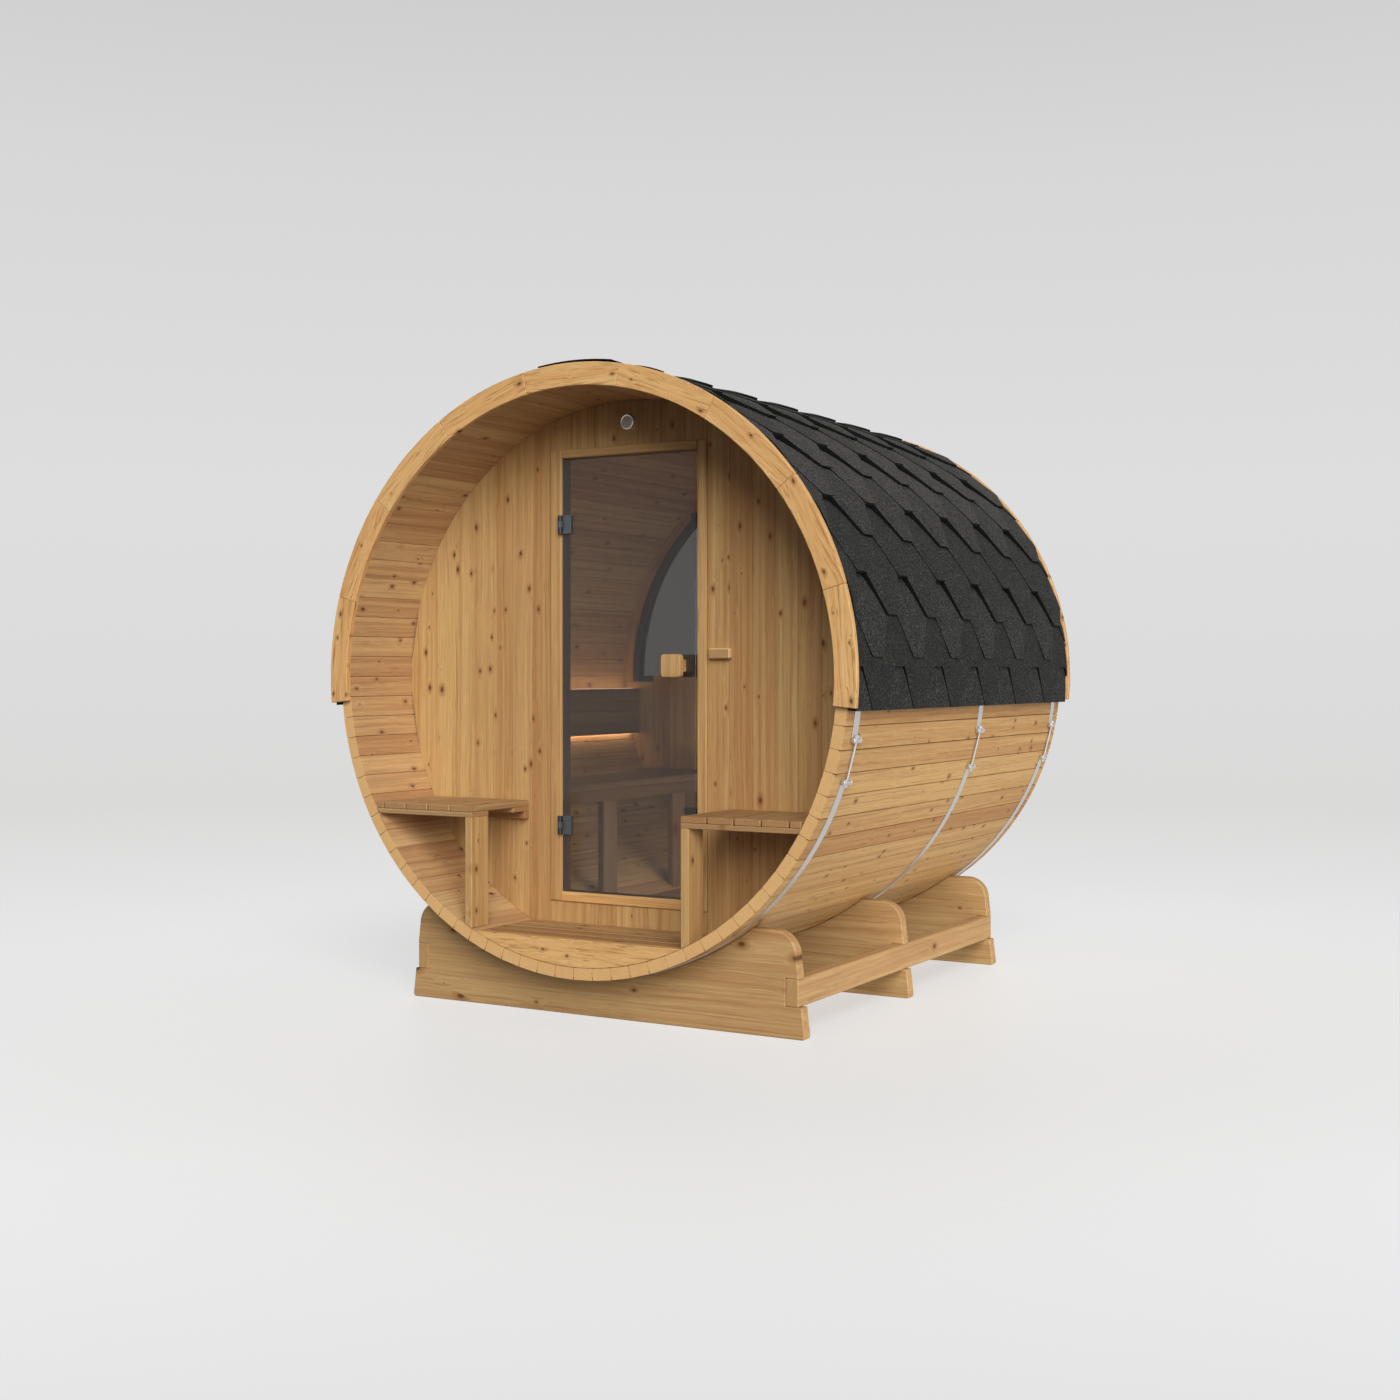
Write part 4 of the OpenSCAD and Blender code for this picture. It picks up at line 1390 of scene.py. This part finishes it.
@dataclass
class Porch:
    """The porch's deck, fascia and its two benches."""

    finishes: Finishes
    slats: int = 4
    gap: float = 0.005
    set_in: float = 0.003
    slat_t: float = 0.023
    bearer_t: float = 0.018
    bearer_w: float = 0.100
    post_t: float = 0.031
    fascia_ease: float = 0.0012
    fascia_in: tuple[float, float] = (0.004, 0.006)
    fascia_gap: float = 0.0003

    def build(self) -> None:
        """Builds the deck, the fascia and the benches."""
        self.deck()
        self.benches()

    def deck(self) -> None:
        """Builds the deck boards across the porch and the fascia before them."""
        deck = Timber("porch_deck_boards", 91)
        first = Y0 + self.set_in + BOARD
        w = (WALL_Y - first - (self.slats - 1) * self.gap) / self.slats
        for i in range(self.slats):
            ya = first + i * (w + self.gap)
            deck.bar(Axis.X, (0, ya, FLOOR_Z - BOARD), (0, ya + w, FLOOR_Z), WIDE_EDGE, 3,
                     circle_ends(-1), circle_ends(1))
        deck.finish(self.finishes.of("spruce_deck"), "sauna", "deck_wood", "porch_deck")
        lo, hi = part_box("deck_fascia")
        foot_in, top_in = self.fascia_in
        x = np.linspace(lo[0] + foot_in, hi[0] - foot_in, 30)
        low = AXIS_Z - np.sqrt(FIT_R ** 2 - x ** 2) + self.fascia_gap
        top = [[hi[0] - top_in, hi[2]], [lo[0] + top_in, hi[2]]]
        outline = np.concatenate([np.stack([x, low], 1), top])
        fascia = Timber("deck_fascia_board", 92)
        fascia.slab(outline, lo[1], hi[1], self.fascia_ease, 0.5)
        fascia.finish(self.finishes.of("spruce_trim"), "sauna", "deck_wood", "deck_fascia")

    def benches(self) -> None:
        """Builds seat slats along Y on bearers along X, with a post at the front and a cleat at the wall."""
        seats, bearers, posts, cleats = (Timber("porch_seat_" + name, seed) for name, seed in
                                         (("slats", 93), ("bearers", 94), ("posts", 95), ("cleats", 96)))
        z1 = BENCH_Z - self.slat_t
        z2 = z1 - self.bearer_t
        front = Y0 + self.set_in
        wall = math.sqrt(FIT_R ** 2 - (z1 - AXIS_Z) ** 2) - HAIR
        for side, inner in BENCH_IN.items():
            x = side * inner
            ends = (circle_ends(-1), None) if side < 0 else (None, circle_ends(1))
            for a in np.arange(inner, wall - LEAST_SLAT, SLAT_PITCH):
                xa, xb = sorted((side * a, side * min(a + SLAT_PITCH - self.gap, wall)))
                seats.bar(Axis.Y, (xa, front, z1), (xb, WALL_Y, BENCH_Z), WIDE_EDGE)
            for ya in (front, WALL_Y - self.bearer_w):
                bearers.bar(Axis.X, (x, ya, z2), (x, ya + self.bearer_w, z1), SMALL_EDGE, 2, *ends)
            xa, xb = sorted((x, side * (inner + self.post_t)))
            posts.bar(Axis.Z, (xa, front, FLOOR_Z), (xb, front + self.bearer_w, z2), start=on_floor)
            cleats.bar(Axis.X, (x, WALL_Y - BOARD, z2 - BOARD), (x, WALL_Y, z2), SMALL_EDGE, 2, *ends)
        for timber, name, wood in ((seats, "seats", "spruce_bench"), (bearers, "bearers", "spruce_bench"),
                                   (posts, "posts", "spruce_wall"), (cleats, "cleats", "spruce_bench")):
            timber.finish(self.finishes.of(wood), "sauna", "bench_wood", "bench_" + name)


@dataclass
class RearEnd:
    """The rear wall of upright boards, the arch over the half-moon window, its frame and pane."""

    finishes: Finishes
    pitch: float = WALL_PITCH
    win_w: float = 0.028
    win_out: float = 0.002
    boards: int = 12
    slit: float = 0.0003
    least_h: float = 0.01
    slit_deg: float = 0.02

    def build(self) -> None:
        """Builds the wall, arch, window frame and pane."""
        wall = Timber("rear_wall_boards", 101)
        lo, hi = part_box("window_glass")
        pane_r = (hi[0] - lo[0]) / 2
        low, mid_y = AXIS_Z - self.win_w, (IN_Y1 + BACK_Y) / 2
        edges = np.unique(np.clip(self.pitch * np.arange(-12.5, 13.5), -FIT_R, FIT_R))
        for a, b in zip(edges[:-1], edges[1:]):
            top = AXIS_Z - self.slit if max(-a, b) < pane_r - 2 * self.slit else low
            for ya, yb, zb in ((IN_Y1, mid_y, top), (mid_y, BACK_Y, low)):
                wall.bar(Axis.Z, (a + HALF_SLIT, ya, 0.0), (b - HALF_SLIT, yb, zb), WALL_CUT, 7, self.feet)
        wall.finish(self.finishes.of("spruce_wall"), "sauna", "wall_wood", "rear_wall")
        arch = Timber("rear_arch_boards", 102)
        self.half_ring(arch, pane_r + self.win_w + self.slit, FIT_R, IN_Y1, BACK_Y)
        arch.finish(self.finishes.of("spruce_wall"), "sauna", "wall_wood", "rear_arch")
        ring = Timber("half_moon_frame", 103)
        yb = BACK_Y + self.win_out
        self.half_ring(ring, pane_r + self.slit, pane_r + self.win_w, IN_Y1 - self.win_out, yb)
        half = pane_r - 2 * self.slit
        ring.bar(Axis.X, (-half, mid_y, low), (half, yb, AXIS_Z - self.slit), SMALL_EDGE)
        ring.finish(self.finishes.of("dark_window_frame"), "sauna", "window_wood", "window_frame")
        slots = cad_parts["window_glass"].data.materials
        slots.clear()
        slots.append(self.finishes.of("clear_pane"))
        log.info("window_glass dressed")

    def feet(self, p: np.ndarray) -> np.ndarray:
        """Heights of the boards' feet: the round, or just below the window's frame where that is lower."""
        return np.minimum(circle_heights(-1)(p), AXIS_Z - self.win_w - self.least_h)

    def half_ring(self, arch: Timber, r0: float, r1: float, ya: float, yb: float) -> None:
        """Adds half a ring of arc boards, whose two end boards reach down to the window's sill.

        Args:
            arch: The set that gets them.
            r0: Inner radius.
            r1: Outer radius.
            ya: Front face.
            yb: Rear face.
        """
        seg, below = 180.0 / self.boards, math.degrees(math.asin(self.win_w / r0))
        for i in range(self.boards):
            a0 = i * seg - (below if i == 0 else 0.0)
            a1 = (i + 1) * seg + (below if i == self.boards - 1 else 0.0)
            arch.arc_board(r0, r1, ya, yb, a0 + self.slit_deg, a1 - self.slit_deg,
                           floor=AXIS_Z - self.win_w)


@dataclass
class Cabin:
    """Inside: floor boards, the bench along the left with its legs, and the lit backrest."""

    finishes: Finishes
    gap: float = 0.005
    rail_h: float = 0.047
    leg_w: float = 0.100
    leg_shares: tuple[float, float] = (0.31, 0.667)
    strip_h: float = 0.010
    block_half: float = 0.02
    upper_h: float = 0.100
    board_slit: float = 0.0008
    floor_boards: int = 16
    block_shares: tuple[float, ...] = (0.1, 0.5, 0.9)

    def build(self) -> None:
        """Builds the floor, the bench and the backrest."""
        floor = Timber("cabin_floor_boards", 111)
        edges = np.linspace(IN_Y0, IN_Y1, self.floor_boards + 1)
        for a, b in zip(edges[:-1], edges[1:]):
            floor.bar(Axis.X, (0, a + HALF_SLIT, FLOOR_Z - BOARD), (0, b - HALF_SLIT, FLOOR_Z), k=3,
                      start=circle_ends(-1), stop=circle_ends(1))
        floor.finish(self.finishes.of("spruce_deck"), "sauna", "cabin_wood", "inner_floor")
        self.bench()
        self.backrest()

    def bench(self) -> None:
        """Builds the seat slats, the front rail with its cross bearers, and the legs."""
        seat, rail, legs = (Timber("cabin_seat_" + name, seed) for name, seed in
                            (("slats", 112), ("frame", 113), ("legs", 114)))
        z1 = INNER_Z - BOARD
        z0 = z1 - self.rail_h
        wall = math.sqrt(FIT_R ** 2 - (z1 - AXIS_Z) ** 2) - HAIR
        inner = BENCH_IN[-1]
        for a in np.arange(inner, wall - LEAST_SLAT, SLAT_PITCH):
            b = min(a + SLAT_PITCH - self.gap, wall)
            seat.bar(Axis.Y, (-b, IN_Y0, z1), (-a, IN_Y1, INNER_Z), WIDE_EDGE)
        rail.bar(Axis.Y, (-inner - BOARD, IN_Y0, z0), (-inner, IN_Y1, z1))
        run, w = IN_Y1 - IN_Y0, self.leg_w
        for y in (IN_Y0, *(IN_Y0 + run * share for share in self.leg_shares), IN_Y1 - w):
            rail.bar(Axis.X, (0, y + 0.25 * w, z0), (-inner - BOARD + HAIR, y + 0.75 * w, z1), SMALL_EDGE,
                     start=circle_ends(-1))
            legs.bar(Axis.Z, (-inner - BOARD, y, FLOOR_Z), (-inner, y + w, z0), start=on_floor)
        for timber, name in ((seat, "seat"), (rail, "frame"), (legs, "legs")):
            # The bench takes the darker spruce: painted shade for the dim cabin.
            timber.finish(self.finishes.of("shade_dark_spruce"), "sauna", "cabin_wood",
                          "inner_bench_" + name)

    def backrest(self) -> None:
        """Builds the two backrest boards, their blocks and the light strips behind their edges."""
        boards, blocks, strips = (Timber("backrest_" + name, seed) for name, seed in
                                  (("boards", 115), ("block_set", 116), ("lights", 117)))
        lo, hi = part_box("backrest")
        upper = hi[2] - self.upper_h
        for za, zb in ((lo[2], upper - self.board_slit), (upper, hi[2])):
            boards.bar(Axis.Y, (lo[0], lo[1], za), (hi[0], hi[1], zb), WIDE_EDGE)
        # The backrest takes the darker spruce: painted shade for the dim cabin.
        boards.finish(self.finishes.of("shade_dark_spruce"), "sauna", "cabin_wood", "backrest")
        lo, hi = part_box("backrest_blocks")
        run = IN_Y1 - IN_Y0
        for share in self.block_shares:
            y = IN_Y0 + run * share
            ya, yb = y - self.block_half, y + self.block_half
            blocks.bar(Axis.X, (lo[0], ya, lo[2]), (hi[0], yb, hi[2]), SMALL_EDGE, start=circle_ends(-1))
        blocks.finish(self.finishes.of("spruce_wall"), "sauna", "cabin_wood", "backrest_blocks")
        lo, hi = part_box("led_strips")
        for za in (lo[2], hi[2] - self.strip_h):
            strips.bar(Axis.Y, (lo[0], lo[1], za), (hi[0], hi[1], za + self.strip_h), HAIR, tone=0.0)
        strips.finish(self.finishes.of("led_glow"), "sauna", "led_plastic", "led_strips")


@dataclass
class Studio:
    """Pale seamless floor and backdrop, soft light from above and in front, and the camera."""

    heading: float = 29.98
    floor_colour: str = "#9a9a99"
    fill: float = 0.9
    camera_at: tuple[float, float, float] = (3.4269, -6.0987, 1.2159)
    focal_px: float = 1767.8
    photo_px: float = 1400.0
    let_down_px: float = 28.5
    sensor_mm: float = 36.0
    floor_r: tuple[float, ...] = (0.01, 3.0, 6.0, 9.0, 12.0)
    floor_steps: int = 64
    floor_glow: float = 0.54
    floor_fade: tuple[float, float] = (1.7, 4.2)
    suns: tuple[tuple[str, float, float, float, float], ...] = (
        ("key_light", 3.0, 40.0, 61.0, 35.0), ("side_light", 0.8, 30.0, 86.0, 62.0))
    soft_boxes: tuple[tuple[Any, ...], ...] = (
        ("floor_bounce", (2.2, 0.1, -0.7), (0.8, 0.2, 0.8), (3.2, 1.4), 26.0),
        ("cabin_glow", (0.15, 0.1, 2.10), (-0.1, 0.1, 0.3), (1.2, 0.4), 3.5),
        ("bench_glow", (0.35, 0.1, 0.45), (-0.6, 0.1, 0.35), (1.2, 0.15), 9.0))

    def build(self) -> None:
        """Sets the stage, the lights, the air and the camera."""
        self.floor()
        self.lights()
        self.camera()

    def floor(self) -> None:
        """Lays a round pale floor, a grid of radius by angle, that fades into the air at its rim."""
        r, n = np.array(self.floor_r)[:, None], self.floor_steps
        turn = np.linspace(0.0, 2 * np.pi, n, endpoint=False)
        x = r * np.cos(turn)
        points = np.stack([x, r * np.sin(turn), np.zeros_like(x)], -1).reshape(-1, 3)
        i, j = np.meshgrid(np.arange(len(r) - 1), np.arange(n), indexing="ij")
        k = (j + 1) % n
        quads = np.stack([i * n + j, (i + 1) * n + j, (i + 1) * n + k, i * n + k], -1).reshape(-1, 4)
        mesh = bpy.data.meshes.new("studio_floor")
        mesh.from_pydata(points, [], quads.tolist() + [list(range(n))])
        material, tree, shader = start_material("pale_studio_floor")
        place = put(tree, "TexCoord")
        far = put(tree, "VectorMath", {0: (place, "Object")}, operation="LENGTH")
        near, gone = self.floor_fade
        fade = put(tree, "MapRange", {0: (far, "Value"), 1: near, 2: gone, 3: 1.0, 4: 0.0},
                   interpolation_type="SMOOTHSTEP")
        tree.links.new(fade.outputs[0], shader.inputs["Alpha"])
        shader.inputs["Base Color"].default_value = linear(self.floor_colour)
        shader.inputs["Emission Color"].default_value = (1.0, 1.0, 1.0, 1.0)
        shader.inputs["Emission Strength"].default_value = self.floor_glow
        shader.inputs["Roughness"].default_value = 0.5
        shader.inputs["Specular IOR Level"].default_value = 0.2
        mesh.materials.append(material)
        floor = bpy.data.objects.new("studio_floor", mesh)
        bpy.context.collection.objects.link(floor)
        floor.visible_diffuse = False
        floor.visible_shadow = False

    def light(self, name: str, at: Sequence[float], aim: Sequence[float], size: tuple[float, float],
              power: float) -> None:
        """Hangs one soft box.

        Args:
            name: Its name.
            at: Where it hangs.
            aim: What it points at.
            size: Width and height.
            power: Watts.
        """
        lamp = bpy.data.lights.new(name, "AREA")
        lamp.shape = "RECTANGLE"
        lamp.size, lamp.size_y = size
        lamp.energy = power
        piece = bpy.data.objects.new(name, lamp)
        bpy.context.collection.objects.link(piece)
        to = np.subtract(aim, at)
        yaw = math.atan2(to[0], -to[1])
        tilt = math.atan2(math.hypot(to[0], to[1]), -to[2])
        piece.rotation_euler = (tilt, 0.0, yaw + math.pi)
        piece.location = at
        piece.visible_camera = False
        piece.visible_glossy = False

    def lights(self) -> None:
        """Hangs the two suns, the floor's bounce and the cabin's lamps, and sets the air."""
        for name, power, spread, tilt, yaw in self.suns:
            far = bpy.data.lights.new(name, "SUN")
            far.energy = power
            far.angle = math.radians(spread)
            piece = bpy.data.objects.new(name, far)
            bpy.context.collection.objects.link(piece)
            piece.rotation_euler = (math.radians(tilt), 0.0, math.radians(yaw))
        for box in self.soft_boxes:
            self.light(*box)
        self.air()

    def air(self) -> None:
        """Sets the air: grey above and pale below for the eye, and light that comes mostly from above."""
        world = bpy.data.worlds.new("studio_air")
        bpy.context.scene.world = world
        world.use_nodes = True
        tree = world.node_tree
        tree.nodes.clear()
        place = put(tree, "TexCoord")
        part = put(tree, "SeparateXYZ", {0: (place, "Generated")})
        height = put(tree, "MapRange", {0: (part, "Z"), 1: -0.4, 2: 0.4})
        seen = put(tree, "ValToRGB", {0: (height, 0)}, (
            (0.02, "#e4e4e4"), (1.0, "#cacaca"), (0.18, "#eeeeee"), (0.34, "#e5e5e5"),
            (0.41, "#dadad9"), (0.5, "#dcdcdc"), (0.62, "#dedede"), (0.84, "#d7d7d7")))
        lit = put(tree, "ValToRGB", {0: (height, 0)}, (
            (0.0, "#242424"), (1.0, "#606060"), (0.42, "#363636"), (0.55, "#b0b0b0"), (0.75, "#a4a4a4")))
        ray = put(tree, "LightPath")
        eye = put(tree, "Background", {0: (seen, 0), 1: 1.0})
        fill = put(tree, "Background", {0: (lit, 0), 1: self.fill})
        open_view = put(tree, "Math", {0: (ray, "Is Camera Ray"), 1: (ray, "Is Glossy Ray")},
                        operation="MAXIMUM")
        both = put(tree, "MixShader", {0: (open_view, 0), 1: (fill, 0), 2: (eye, 0)})
        put(tree, "OutputWorld", {0: (both, 0)})

    def camera(self) -> None:
        """Puts the camera where the photograph was taken from, level, with the frame let down."""
        lens = bpy.data.cameras.new("photo_camera")
        lens.lens = self.focal_px * self.sensor_mm / self.photo_px
        lens.sensor_width = self.sensor_mm
        lens.shift_y = -self.let_down_px / self.photo_px
        eye = bpy.data.objects.new("photo_camera", lens)
        bpy.context.collection.objects.link(eye)
        eye.location = self.camera_at
        eye.rotation_euler = (math.radians(90.0), 0.0, math.radians(self.heading))
        bpy.context.scene.camera = eye


def main() -> None:
    """Builds every sub-assembly in order."""
    logging.basicConfig(level=logging.INFO, format="%(message)s")
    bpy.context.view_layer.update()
    bpy.context.scene.view_settings.view_transform = "Standard"
    finishes = Finishes()
    Studio().build()
    for kind in (BarrelShell, ShingleRoof, Bands, Cradles, FrontWall,
                 DoorFrame, Door, Porch, RearEnd, Cabin):
        kind(finishes).build()
        log.info("%s built", kind.__name__)


if __name__ == "__main__":
    main()
